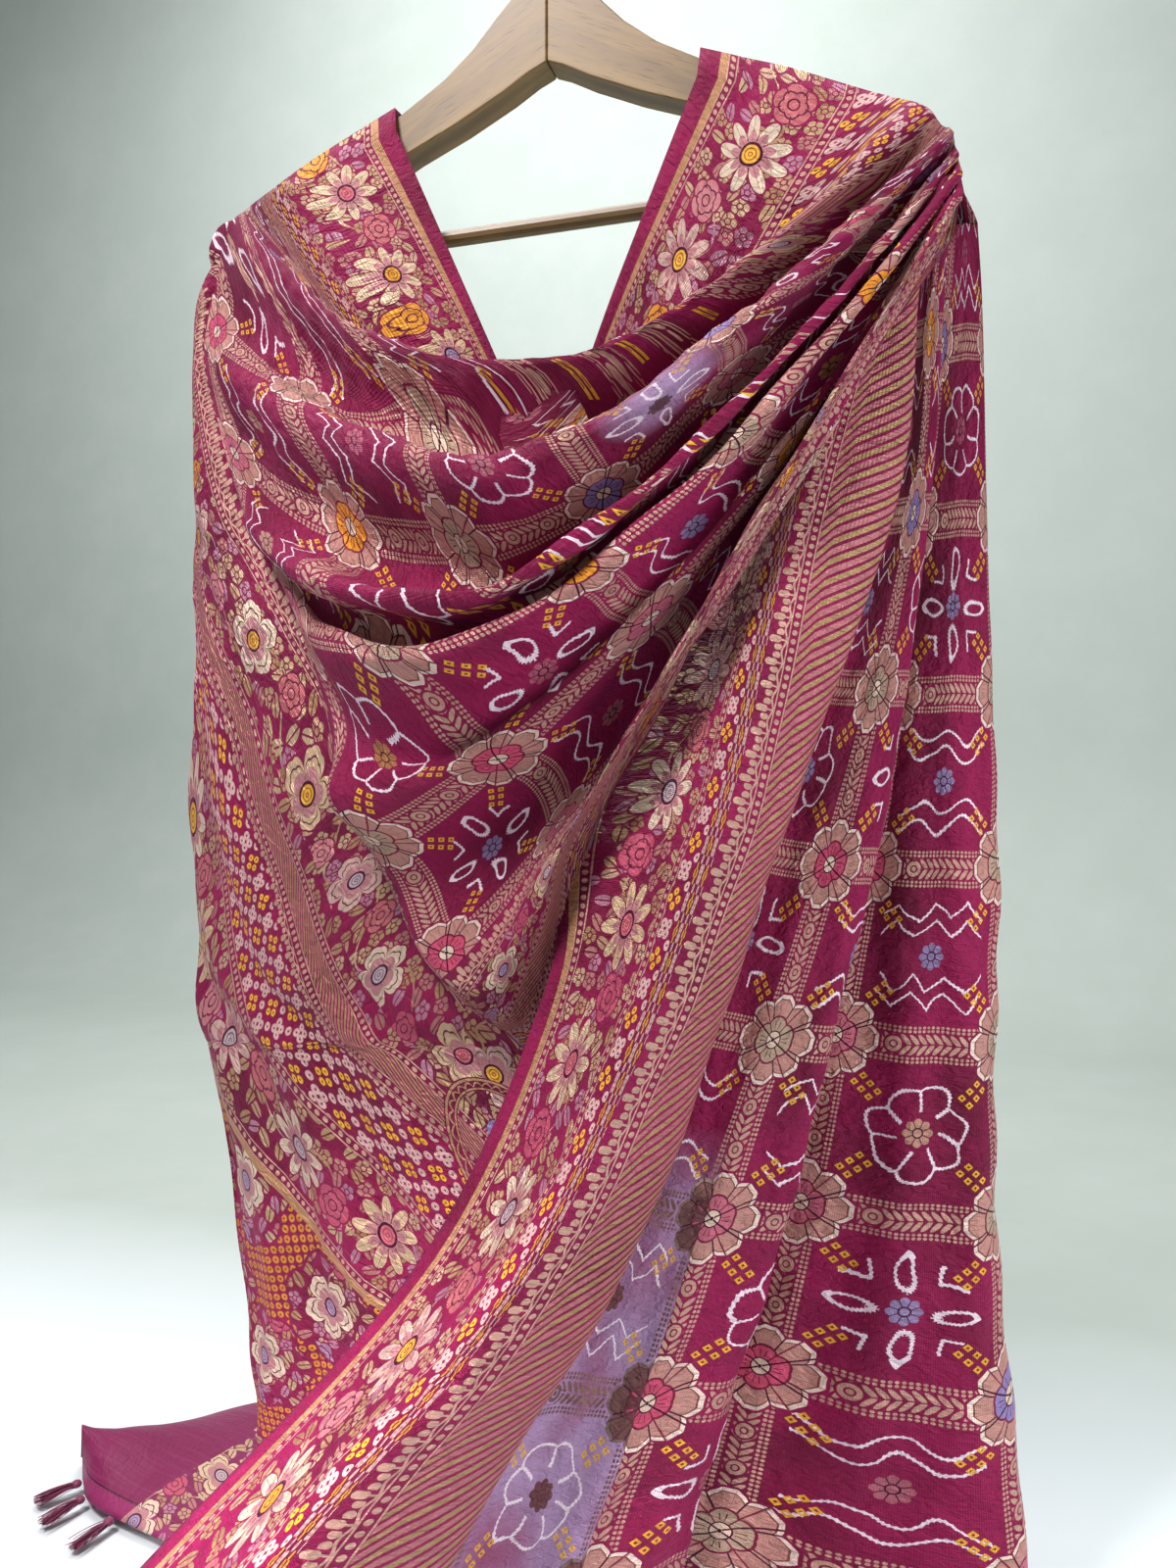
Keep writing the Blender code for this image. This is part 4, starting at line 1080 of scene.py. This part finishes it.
def swag_creases(grid, u, v):
    """Heights on the swag: gathers towards the right arm, puckers along the crests, soft dents."""
    folds = smooth_through(np.array(FOLD_DEPTH, float)[:, None], FOLD_STEPS)
    run = run_lengths(grid)
    share = run / run[:, -1:]
    inside = ramp(run, 4, 60) * ramp(share, 1.0, 0.9)
    gathers = 1.5 * waves(v, run, 58, 120, 0.4) * ramp(share, 0.35, 0.7)
    puckers = 0.8 * waves(run, v, 19, 60, 1.3) * ramp(v, 300, 400) * ramp(v, 760, 640)
    dents = 1.7 * waves(run + 0.5 * v, v, 96, 140, 2.2) * ramp(share, 0.95, 0.5)
    neck = 0.9 * waves(v, run, 44, 90, 0.9) * ramp(v, 290, 200) * ramp(run, 30, 90)
    return inside * (folds + gathers + puckers + dents * ramp(v, 240, 420) + neck)


def left_creases(grid, u, v):
    """Heights on the left fall: long soft waves that deepen downwards, and small puckers."""
    run = run_lengths(grid)
    z = grid[..., 2]
    low = ramp(z, -300, -900)
    inside = ramp(run, 10, 90) * ramp(-z, 225, 290)
    waves_down = (1.2 + 3.0 * low) * waves(run, z, 74, 210, 0.7)
    fine = (0.5 + 0.6 * low) * waves(run, z, 27, 90, 1.9)
    dents = 1.4 * waves(z + 0.4 * run, run, 88, 120, 2.6)
    return inside * (waves_down + fine + dents)


def right_creases(grid, u, v):
    """Heights on the right fall: a scalloped ridge on the border, and soft waves down the field."""
    run = run_lengths(grid)
    low = ramp(run, 120, 420)
    ends = ramp(run, 25, 110) * ramp(run, run[:, -1:].max() + 40, run[:, -1:].max() - 120)
    ridge = 2.2 * waves(run, v, 21, 70, 0.3) * np.exp(-((v - 124) / 30) ** 2)
    border = 1.0 * waves(run + 0.6 * v, v, 92, 150, 1.1) * ramp(v, 20, 60) * ramp(v, 230, 180)
    field = (0.6 + 1.4 * low) * waves(v, run, 43, 190, 1.6) * ramp(v, 300, 360)
    dents = 1.2 * waves(run + 0.3 * v, v, 71, 80, 2.9) * ramp(v, 300, 380)
    return low * ends * (ridge + border + field + dents)


print("waves made uneven:", [round(float(waves(a, 40.0, 58, 120, 0.4)), 2) for a in (0.0, 20.0, 40.0)])

# %% [markdown]
# ## The sheets
# The swag and the left fall are one stretch of cloth, so they are one mesh, joined point for point
# along the line where the fold lines turn. The right fall is a second, tucked under the swag's low
# edge, and the plain end a third. Each is a single layer that a Solidify modifier gives 0.8 mm.
# The back of a fall is another part of the sheet than its front, so u and v change at the turn.

# %% A mesh from grids, with its millimetres as a UV map
def sheet_piece(name, points, faces, corners_u, corners_v, finish, thick=0.8):
    """An object from points in millimetres, faces, and the sheet's u and v at each face corner."""
    mesh = bpy.data.meshes.new(name)
    mesh.from_pydata([tuple(p) for p in points * MM], [], faces.tolist())
    layer = mesh.uv_layers.new(name="sheet")
    uv = np.stack([corners_u, corners_v], axis=-1).reshape(-1) * MM
    layer.data.foreach_set("uv", uv.astype(np.float32))
    mesh.shade_smooth()
    mesh.materials.append(finish)
    thing = in_scene(name, mesh)
    wall = thing.modifiers.new("wall", "SOLIDIFY")
    wall.thickness = thick * MM
    wall.offset = 0
    print(name, "has", len(faces), "faces and", round(sum(p.area for p in mesh.polygons), 3), "square metres")
    return thing


def numbered(grid):
    """The number of every point of a grid."""
    return np.arange(grid.shape[0] * grid.shape[1]).reshape(grid.shape[:2])


def at_corners(values):
    """A grid's values at the four corners of each of its faces."""
    corners = (values[:-1, :-1], values[1:, :-1], values[1:, 1:], values[:-1, 1:])
    return np.stack(corners, axis=-1).reshape(-1, 4)


def two_sided(front, back, turn):
    """Values at face corners: the front's up to a column, and the back's past it."""
    both = at_corners(front).reshape(front.shape[0] - 1, -1, 4)
    both[:, turn:] = at_corners(back).reshape(both.shape)[:, turn:]
    return both.reshape(-1, 4)


def two_sided_rows(front, back, turn):
    """The same where a row, not a column, is the turn."""
    both = two_sided(front.T, back.T, turn).reshape(front.shape[1] - 1, -1, 4)
    return both.swapaxes(0, 1).reshape(-1, 4)[:, [0, 3, 2, 1]]


# %% Swag and left fall in one
swag_grid = swag()
swag_u, swag_v = swag_weave(swag_grid)
first = FIRST_SIDE_LINE * FOLD_STEPS
joint = swag_grid[first:, 0]
left_grid = left_fall()
# the fall's first columns are eased onto the swag's edge
EASE_COLUMNS = 14
miss = joint - left_grid[:len(joint), 0]
ease = np.clip(1 - np.arange(left_grid.shape[1]) / EASE_COLUMNS, 0, 1) ** 2
left_grid[:len(joint)] += miss[:, None] * ease[None, :, None]
left_u, left_v, back_u, back_v = left_weave(left_grid, swag_u[first:, 0], swag_v[first:, 0])
swag_grid = raised(swag_grid, swag_creases(swag_grid, swag_u, swag_v))
left_grid = raised(left_grid, left_creases(left_grid, left_u, left_v))
left_grid[:len(joint), 0] = swag_grid[first:, 0]

swag_index = numbered(swag_grid)
left_index = numbered(left_grid) + swag_index.size
left_index[:len(joint), 0] = swag_index[first:, 0]
turn_column = round(left_grid.shape[1] * 0.62)      # the outline lies past this share of the columns
front_cloth = sheet_piece(
    "stole_front_and_left_fall",
    np.concatenate([swag_grid.reshape(-1, 3), left_grid.reshape(-1, 3)]),
    np.concatenate([at_corners(swag_index), at_corners(left_index)[:, ::-1]]),
    np.concatenate([at_corners(swag_u), two_sided(left_u, back_u, turn_column)[:, ::-1]]),
    np.concatenate([at_corners(swag_v), two_sided(left_v, back_v, turn_column)[:, ::-1]]),
    stole_silk)

# %% Right fall
right_grid = right_fall()
right_u, right_v, far_u, far_v = right_weave(right_grid)
# behind the swag the selvedge is tucked further under, row by row less
selvedge_z = right_grid[0, :, 2]
TUCK = np.array([-24.0, 9.0, -6.0])
for row, share in enumerate((1.0, 0.8, 0.6, 0.42, 0.27, 0.15, 0.06)):
    tuck = share * ramp(selvedge_z, -680, -590) * ramp(-selvedge_z, 440, 500)
    right_grid[row] += tuck[:, None] * TUCK
right_grid = raised(right_grid, right_creases(right_grid, right_u, right_v))
turn_row = 15 * FOLD_STEPS      # three lines past the outline
right_cloth = sheet_piece(
    "stole_right_fall", right_grid.reshape(-1, 3), at_corners(numbered(right_grid)),
    two_sided_rows(right_u, far_u, turn_row), two_sided_rows(right_v, far_v, turn_row), stole_silk)

# %% [markdown]
# ## The wood
# The hanger is sawn from a light hardwood, sanded and sealed: straight grain runs along each arm,
# with darker streaks and a few short pores. Distances along and across the slope of an arm give the
# grain its direction on both arms with one formula, because each falls away from the middle alike.

# %% Sealed hardwood
ARM_COSINE, ARM_SINE = 0.9015, 0.4327       # of the angle at which the arms fall


def streaks(tree, along, length, width, looks):
    """Noise drawn out along the grain: so many streaks to the metre along it and across it."""
    drawn = add(tree, "ShaderNodeMapping", {"Vector": along, "Scale": (length, width, width)})
    return out(tree, "ShaderNodeTexNoise", {"Vector": drawn.outputs[0], "Scale": 1.0, **looks})


def dress(node, finish):
    """Gives a solid of the frame one finish."""
    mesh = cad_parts[node].data
    mesh.materials.clear()
    mesh.materials.append(finish)


def sealed_wood(name, cosine, sine):
    """Hardwood with its grain along the sloping arms, or along the level bar."""
    finish, tree = new_finish(name)
    x, y, z = split(tree, add(tree, "ShaderNodeTexCoord").outputs["Object"])
    d = draft(tree, "s = abs(x) * c - z * f\nt = z * c + abs(x) * f", x=x, z=z, c=cosine, f=sine)
    along = out(tree, "ShaderNodeCombineXYZ", {0: d["s"], 1: d["t"], 2: y})
    m = draft(tree, """
        streak = min(max((g - 0.42) * 3.2, 0), 1)
        dark = min(max((r - 0.52) * 5.0, 0), 1)
        pore = min(max((p - 0.6) * 8, 0), 1) * 0.55
        rough = 0.42 + g * 0.16
        height = g * 0.6 - pore * 0.5
    """, g=streaks(tree, along, 5.0, 75.0, {"Detail": 5.0, "Roughness": 0.6, "Distortion": 0.8}),
        r=streaks(tree, along, 3.0, 22.0, {"Detail": 2.0, "Distortion": 1.6}),
        p=streaks(tree, along, 60.0, 900.0, {"Detail": 1.0}))
    shade = painted(tree, colour("#725832"), [
        (m["streak"], colour("#937748")), (m["dark"], colour("#554022")), (m["pore"], colour("#362714"))])
    bump = out(tree, "ShaderNodeBump", {
        "Strength": 0.25, "Distance": 0.0004, "Height": m["height"]})
    end_finish(tree, {"Base Color": shade, "Roughness": m["rough"], "Normal": bump,
                      "Coat Weight": 0.12, "Coat Roughness": 0.3})
    return finish


arm_wood = sealed_wood("sealed_hardwood_arms", ARM_COSINE, ARM_SINE)
dress("hanger_arm_left", arm_wood)
dress("hanger_arm_right", arm_wood)
dress("hanger_bar", sealed_wood("sealed_hardwood_bar", 1.0, 0.0))
print("wooden nodes dressed")

# %% [markdown]
# ## The hook
# Plated steel wire, drawn and bent: bright, with a faint unevenness from the plating bath.

# %% Plated steel
steel, tree = new_finish("plated_steel_wire")
mottle = add(tree, "ShaderNodeTexNoise", {
    "Vector": add(tree, "ShaderNodeTexCoord").outputs["Object"], "Scale": 380.0, "Detail": 3.0})
dull = draft(tree, "rough = 0.22 + m * 0.16", m=mottle.outputs[0])["rough"]
end_finish(tree, {"Base Color": colour("#C4C2BC"), "Metallic": 1.0, "Roughness": dull})
dress("hanger_hook", steel)
print("hook dressed")

# %% [markdown]
# ## The plain end
# The stole's end is plain silk of the ground's colour, with one woven corner. It lies on the floor
# as a low arch, and the tassels are knotted into its hem.

# %% Plain silk and the end strip
def plain_silk(name, code):
    """Wine silk with slubs and a lilac sheen, a folded hem with painted shade along its fold, and flowers
    across one corner.
    """
    finish, tree = new_finish(name)
    place = sheet_place(tree)
    slub = out(tree, "ShaderNodeMapping", {"Vector": place, "Scale": (0.02, 0.5, 1.0)})
    slubs = add(tree, "ShaderNodeTexNoise", {"Vector": slub, "Scale": 1.0, "Detail": 3.0})
    x, y, _ = split(tree, place)
    m = draft(tree, """
        light = min(max((s - 0.45) * 1.4, 0), 0.4)
        hem = y < 12
        fold = abs(y - 12.2) < 0.5
        past = x - y * 0.45 - 64
        worked = past > 0
        along = y + x * 0.45
        c = past - 12
    """, s=slubs.outputs[0], x=x, y=y)
    # painted shade: a dark line along the hem's fold
    ground = painted(tree, colour(code), [
        (m["light"], colour("#9C4472")), (m["hem"], colour("#8E2A5E")), (m["fold"], colour(SHADOW))])
    floral, _ = flowers_along(tree, m["along"], m["c"], 0.8, 1.0, ground)
    shade = painted(tree, ground, [(m["worked"], floral)])
    end_finish(tree, {
        "Base Color": shade, "Roughness": 0.5, "Normal": thread_bump(tree, place, 0.3),
        "Sheen Weight": 0.06, "Sheen Roughness": 0.4, "Sheen Tint": colour("#D9A6CC"),
        "Specular IOR Level": 0.25})
    return finish


END_STEPS = 60
hem, far, arch = (smooth_through(edge, END_STEPS // 4) for edge in (END_HEM, END_FAR, END_ARCH))
end_rows = []
for i in range(END_STEPS + 1):
    f = i / END_STEPS
    row = hem + (far - hem) * f
    row[:, 2] += arch * math.sin(math.pi * f ** 0.8)
    end_rows.append(row)
end_grid = np.array(end_rows)
end_run = run_lengths(end_grid)
end_down = run_lengths(end_grid.swapaxes(0, 1)).T
# a few ripples, none of them at the hem or the far edge
rise = 1.6 * waves(end_run, end_down, 46, 60, 0.5) * np.sin(np.pi * np.clip(end_down / 90, 0, 1))
end_grid[..., 2] += np.maximum(rise, -1.0) * ramp(end_down, 3, 30) * ramp(end_down[-1] - end_down, 3, 30)
plain_end = sheet_piece(
    "stole_plain_end", end_grid.reshape(-1, 3), at_corners(numbered(end_grid)),
    at_corners(end_run), at_corners(end_down), plain_silk("plain_wine_silk", "#78184A"))

# %% [markdown]
# ## Hem stitches and tassels
# A row of small running stitches holds the end's folded hem, and three tassels of loose silk
# threads are knotted into it. Both repeat one small thread many times, so Geometry Nodes lay them:
# the stitches at a set pitch along a line, the tassel's threads at random from its knot.

# %% Twisted thread
def twisted_thread(name, code, light):
    """Silk thread: matt, and streaked where its plies turn."""
    finish, tree = new_finish(name)
    plies = add(tree, "ShaderNodeTexNoise", {
        "Vector": add(tree, "ShaderNodeTexCoord").outputs["Object"], "Scale": 900.0, "Detail": 2.0})
    share = draft(tree, "s = min(max((n - 0.4) * 3, 0), 1)", n=plies.outputs[0])["s"]
    shade = painted(tree, colour(code), [(share, colour(light))])
    end_finish(tree, {"Base Color": shade, "Roughness": 0.55, "Sheen Weight": 0.3})
    return finish


wine_thread = twisted_thread("wine_silk_thread", "#741644", "#93305F")


# %% A Geometry Nodes tree with named sizes, and its result as a plain mesh
def node_tree(name, sizes):
    """An empty tree with a geometry input, named sizes and a geometry output."""
    tree = bpy.data.node_groups.new(name, "GeometryNodeTree")
    tree.interface.new_socket("Geometry", in_out="INPUT", socket_type="NodeSocketGeometry")
    for label, kind in sizes:
        tree.interface.new_socket(label, in_out="INPUT", socket_type=kind)
    tree.interface.new_socket("Geometry", in_out="OUTPUT", socket_type="NodeSocketGeometry")
    return tree, add(tree, "NodeGroupInput").outputs


def end_with(tree, instances, finish):
    """Ends a tree: its instances made real, with a finish."""
    real = out(tree, "GeometryNodeRealizeInstances", {0: instances})
    dressed = out(tree, "GeometryNodeSetMaterial", {"Geometry": real, "Material": finish})
    add(tree, "NodeGroupOutput", {0: dressed})


def tube(tree, curve, resolution, radius):
    """A curve made a closed thread."""
    ring = add(tree, "GeometryNodeCurvePrimitiveCircle", {"Resolution": resolution, "Radius": radius})
    return out(tree, "GeometryNodeCurveToMesh", {
        "Curve": curve, "Profile Curve": ring.outputs[0], "Fill Caps": True})


def plain_result(name, tree, values, points=()):
    """Runs a tree on a line with its sizes set, and returns the outcome as a plain mesh."""
    line = bpy.data.meshes.new(name + "_line")
    line.from_pydata([tuple(p) for p in points], [(k, k + 1) for k in range(len(points) - 1)], [])
    carrier = in_scene(name + "_line", line)
    laid = carrier.modifiers.new("threads", "NODES")
    laid.node_group = tree
    keys = {item.name: item.identifier for item in tree.interface.items_tree if item.in_out == "INPUT"}
    for label, value in values.items():
        laid[keys[label]] = value
    ready = carrier.evaluated_get(bpy.context.evaluated_depsgraph_get())
    mesh = bpy.data.meshes.new_from_object(ready)
    mesh.name = name
    bpy.data.objects.remove(carrier)
    print(name, "has", len(mesh.polygons), "faces")
    return mesh


# %% Running stitches along the hem
tree, sizes = node_tree("hem_stitches", (
    ("Pitch", "NodeSocketFloat"), ("Length", "NodeSocketFloat"), ("Thread", "NodeSocketFloat")))
line = out(tree, "GeometryNodeMeshToCurve", {"Mesh": sizes["Geometry"]})
marks = out(tree, "GeometryNodeResampleCurve", {
    "Curve": line, "Length": sizes["Pitch"]}, mode="LENGTH")
reach = out(tree, "ShaderNodeCombineXYZ", {0: sizes["Length"]})
stitch = out(tree, "GeometryNodeCurvePrimitiveLine", {"End": reach})
stitch = tube(tree, stitch, 6, sizes["Thread"])
way = out(tree, "FunctionNodeAlignRotationToVector", {
    "Vector": out(tree, "GeometryNodeInputTangent")}, axis="X")
laid = out(tree, "GeometryNodeInstanceOnPoints", {
    "Points": marks, "Instance": stitch, "Rotation": way})
end_with(tree, laid, wine_thread)
hem_row = int(np.argmax(end_down[:, END_STEPS // 2] > 10.5))     # 10.5 mm up from the hem
hem_line = end_grid[hem_row] * MM + np.array([0, 0, 0.0006])
stitches = in_scene("hem_stitches", plain_result(
    "hem_stitches", tree, {"Pitch": 0.0036, "Length": 0.0023, "Thread": 0.00028}, hem_line))

# %% Tassels
THREADS, THREAD_LENGTH = 64, 0.027
KNOT_RADIUS = 0.0034
LOWEST_THREAD = -1.0535     # metres; threads do not sink below the folds' lowest point
tree, sizes = node_tree("tassel_threads", (
    ("Threads", "NodeSocketInt"), ("Length", "NodeSocketFloat"), ("Spread", "NodeSocketFloat"),
    ("Thread", "NodeSocketFloat"), ("Seed", "NodeSocketInt")))
roots = out(tree, "FunctionNodeRandomValue", {
    0: (-0.0019, -0.0019, 0.0), 1: (0.0019, 0.0019, 0.0), "Seed": sizes["Seed"]},
    data_type="FLOAT_VECTOR")
knots = out(tree, "GeometryNodePoints", {"Count": sizes["Threads"], "Position": roots})
tip = out(tree, "ShaderNodeCombineXYZ", {2: sizes["Length"]})
bow = out(tree, "ShaderNodeVectorMath", {
    0: tip, 1: (0.0, 0.0, 0.5), 2: (0.0022, 0.0, 0.0)}, operation="MULTIPLY_ADD")
thread = out(tree, "GeometryNodeCurveQuadraticBezier", {
    "Resolution": 7, "Start": (0, 0, 0), "Middle": bow, "End": tip})
thread = tube(tree, thread, 5, sizes["Thread"])
back = out(tree, "ShaderNodeMath", {0: sizes["Spread"], 1: -1.0}, operation="MULTIPLY")
low = out(tree, "ShaderNodeCombineXYZ", {0: back, 1: back})
high = out(tree, "ShaderNodeCombineXYZ", {0: sizes["Spread"], 1: sizes["Spread"], 2: 6.28})
lean = out(tree, "FunctionNodeRandomValue", {
    0: low, 1: high, "Seed": sizes["Seed"]}, data_type="FLOAT_VECTOR")
lean = out(tree, "FunctionNodeEulerToRotation", {0: lean})
trim = add(tree, "FunctionNodeRandomValue", {
    2: 0.82, 3: 1.0, "Seed": sizes["Seed"]}, data_type="FLOAT")
laid = out(tree, "GeometryNodeInstanceOnPoints", {
    "Points": knots, "Instance": thread, "Rotation": lean, "Scale": trim.outputs[1]})
end_with(tree, laid, wine_thread)

TASSELS = (
    # along  dx    dy      where on the hem, and the way the threads lie
    (0.03, -0.58, -0.81),
    (0.18, -0.35, -0.94),
    (0.36, -0.30, -0.95),
)


def tassel(number, along, dx, dy):
    """One tassel: a wound knot at the hem, and its threads lying on the floor."""
    threads = plain_result(f"tassel_threads_{number}", tree, {
        "Threads": THREADS, "Length": THREAD_LENGTH, "Spread": 0.17, "Thread": 0.00034, "Seed": number})
    root = smooth_through(END_HEM, 20)[round(along * 80)] * MM
    way = np.array([dx, dy, 0.0]) / math.hypot(dx, dy)
    side = np.array([-way[1], way[0], 0.0])
    shape = bmesh.new()
    bmesh.ops.create_uvsphere(shape, u_segments=24, v_segments=16, radius=KNOT_RADIUS)
    for point in shape.verts:
        x, y, z = point.co
        wound = 1 + 0.06 * math.sin(z * 5200) * math.sin(math.atan2(y, x) * 2 + z * 900)
        point.co.x *= wound
        point.co.y *= wound
    shape.from_mesh(threads)
    # laid over: what stood up from the knot now lies along the tassel's way, and sinks to the floor
    spots = np.array([point.co[:] for point in shape.verts])
    reach = np.clip(spots[:, 2] / THREAD_LENGTH, 0, 1)
    at = root + way * 0.0045 + spots[:, 2:3] * way + spots[:, :1] * side
    at[:, 2] += spots[:, 1] * 0.7 - 0.0035 * reach ** 1.5
    at[:, 2] = np.maximum(at[:, 2], LOWEST_THREAD)
    for point, spot in zip(shape.verts, at):
        point.co = spot
    mesh = bpy.data.meshes.new(f"tassel_of_threads_{number}")
    bmesh.ops.recalc_face_normals(shape, faces=shape.faces)
    shape.to_mesh(mesh)
    shape.free()
    mesh.shade_smooth()
    mesh.materials.clear()
    mesh.materials.append(wine_thread)
    return in_scene(mesh.name, mesh)


tassels = [tassel(k + 1, *row) for k, row in enumerate(TASSELS)]
print(len(tassels), "tassels, each of", THREADS, "threads")

# %% [markdown]
# ## The floor, the wall behind and the light
# A plain pale floor curves up into a wall, far enough behind for the stole to be seen from all
# round. Soft daylight comes from a window on the left and above, a pale fill from the right keeps
# the folds open, and two lamps out of sight wash the wall and the floor. A last one, faint and
# narrow, reaches the hollow between the falls from low in front.

# %% Floor, wall and light
def backdrop():
    """A pale floor that curves up into a wall."""
    floor_z, floor_y, wall_y, wall_z, bend, half_width = -1.058, -3.0, 2.1, 2.6, 0.6, 3.2
    profile = [(floor_y, floor_z)] + [
        (wall_y - bend + bend * math.sin(a), floor_z + bend - bend * math.cos(a))
        for a in np.linspace(0, math.pi / 2, 17)] + [(wall_y, wall_z)]
    points = [(x, y, z) for y, z in profile for x in (-half_width, half_width)]
    faces = [(2 * k, 2 * k + 1, 2 * k + 3, 2 * k + 2) for k in range(len(profile) - 1)]
    mesh = bpy.data.meshes.new("backdrop")
    mesh.from_pydata(points, [], faces)
    mesh.shade_smooth()
    thing = in_scene("backdrop", mesh)
    paint, tree = new_finish("matt_pale_board")
    place = add(tree, "ShaderNodeTexCoord").outputs["Object"]
    cloud = add(tree, "ShaderNodeTexNoise", {
        "Vector": place, "Scale": 7.0, "Detail": 6.0, "Roughness": 0.65})
    m = draft(tree, """
        patch = min(max((n - 0.42) * 2.2, 0), 1) * 0.5
        near = min(max((0.45 - y) * 3, 0), 1)
    """, n=cloud.outputs[0], y=split(tree, place)[1])
    shade = painted(tree, colour("#AEB8B2"), [
        (m["patch"], colour("#BFC5C1")), (m["near"], colour("#DFE7EB"))])
    end_finish(tree, {"Base Color": shade, "Roughness": 0.85})
    mesh.materials.append(paint)


LIGHTS = (
    # name           place                faces                  size  watts colour     opens by degrees
    ("window_above", (-0.5, -0.85, 0.8),  (0.05, 0, -0.6),       0.45, 34,   "#FFFAFB", 180),
    ("wall_wash",    (-0.6, 0.75, 1.5),   (-0.6, 2.1, -0.5),     1.6,  56,   "#FFFFFF", 180),
    ("fill_right",   (1.5, -1.0, -0.6),   (0, 0, -0.8),          1.2,  5,    "#F4F6FF", 180),
    ("floor_wash",   (1.2, -0.25, -0.3),  (0.6, 0.6, -1.0),      0.7,  12,   "#FFFFFF", 180),
    ("low_front",    (-0.1, -1.0, -0.25), (-0.04, -0.17, -0.95), 0.22, 0.45, "#FFF6FA", 20),
)
ROOM_LIGHT = 0.2


def soft_light(name, place, aim, size, power, code, spread):
    """A soft square light at a place, turned to face a point."""
    lamp = bpy.data.lights.new(name, "AREA")
    lamp.size = size
    lamp.energy = power
    lamp.spread = math.radians(spread)
    lamp.color = colour(code)[:3]
    thing = in_scene(name, lamp)
    thing.location = place
    thing.rotation_euler = (Vector(aim) - Vector(place)).to_track_quat("-Z", "Y").to_euler()


backdrop()
for light in LIGHTS:
    soft_light(*light)
world = bpy.data.worlds.new("room_light")
bpy.context.scene.world = world
world.use_nodes = True
room = world.node_tree.nodes["Background"].inputs
room["Color"].default_value = colour("#F2F3F5")
room["Strength"].default_value = ROOM_LIGHT
bpy.context.scene.view_settings.view_transform = "Standard"

# %% [markdown]
# ## What moves with what
# The cloth and the hanger are one body. Each piece rides on it and stands for the solids that it
# covers.

# %% Bodies and solids
ARMS = ["hanger_arm_left", "hanger_arm_right"]
for piece, solids, cut, rests in (
        (front_cloth, ("swag_neck", "swag_front", "swag_low", "fall_left"), (1.29, 0.62), ARMS),
        (right_cloth, ("fall_border", "fall_middle", "fall_back"), (1.05, 0.58), ARMS[1:]),
        (plain_end, ("end_strip",), (0.23, 0.2), [])):
    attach(piece, "root")
    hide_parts(*solids)
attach(stitches, "root")
for number, piece in enumerate(tassels, 1):
    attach(piece, "root")
    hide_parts(f"tassel_{number}")
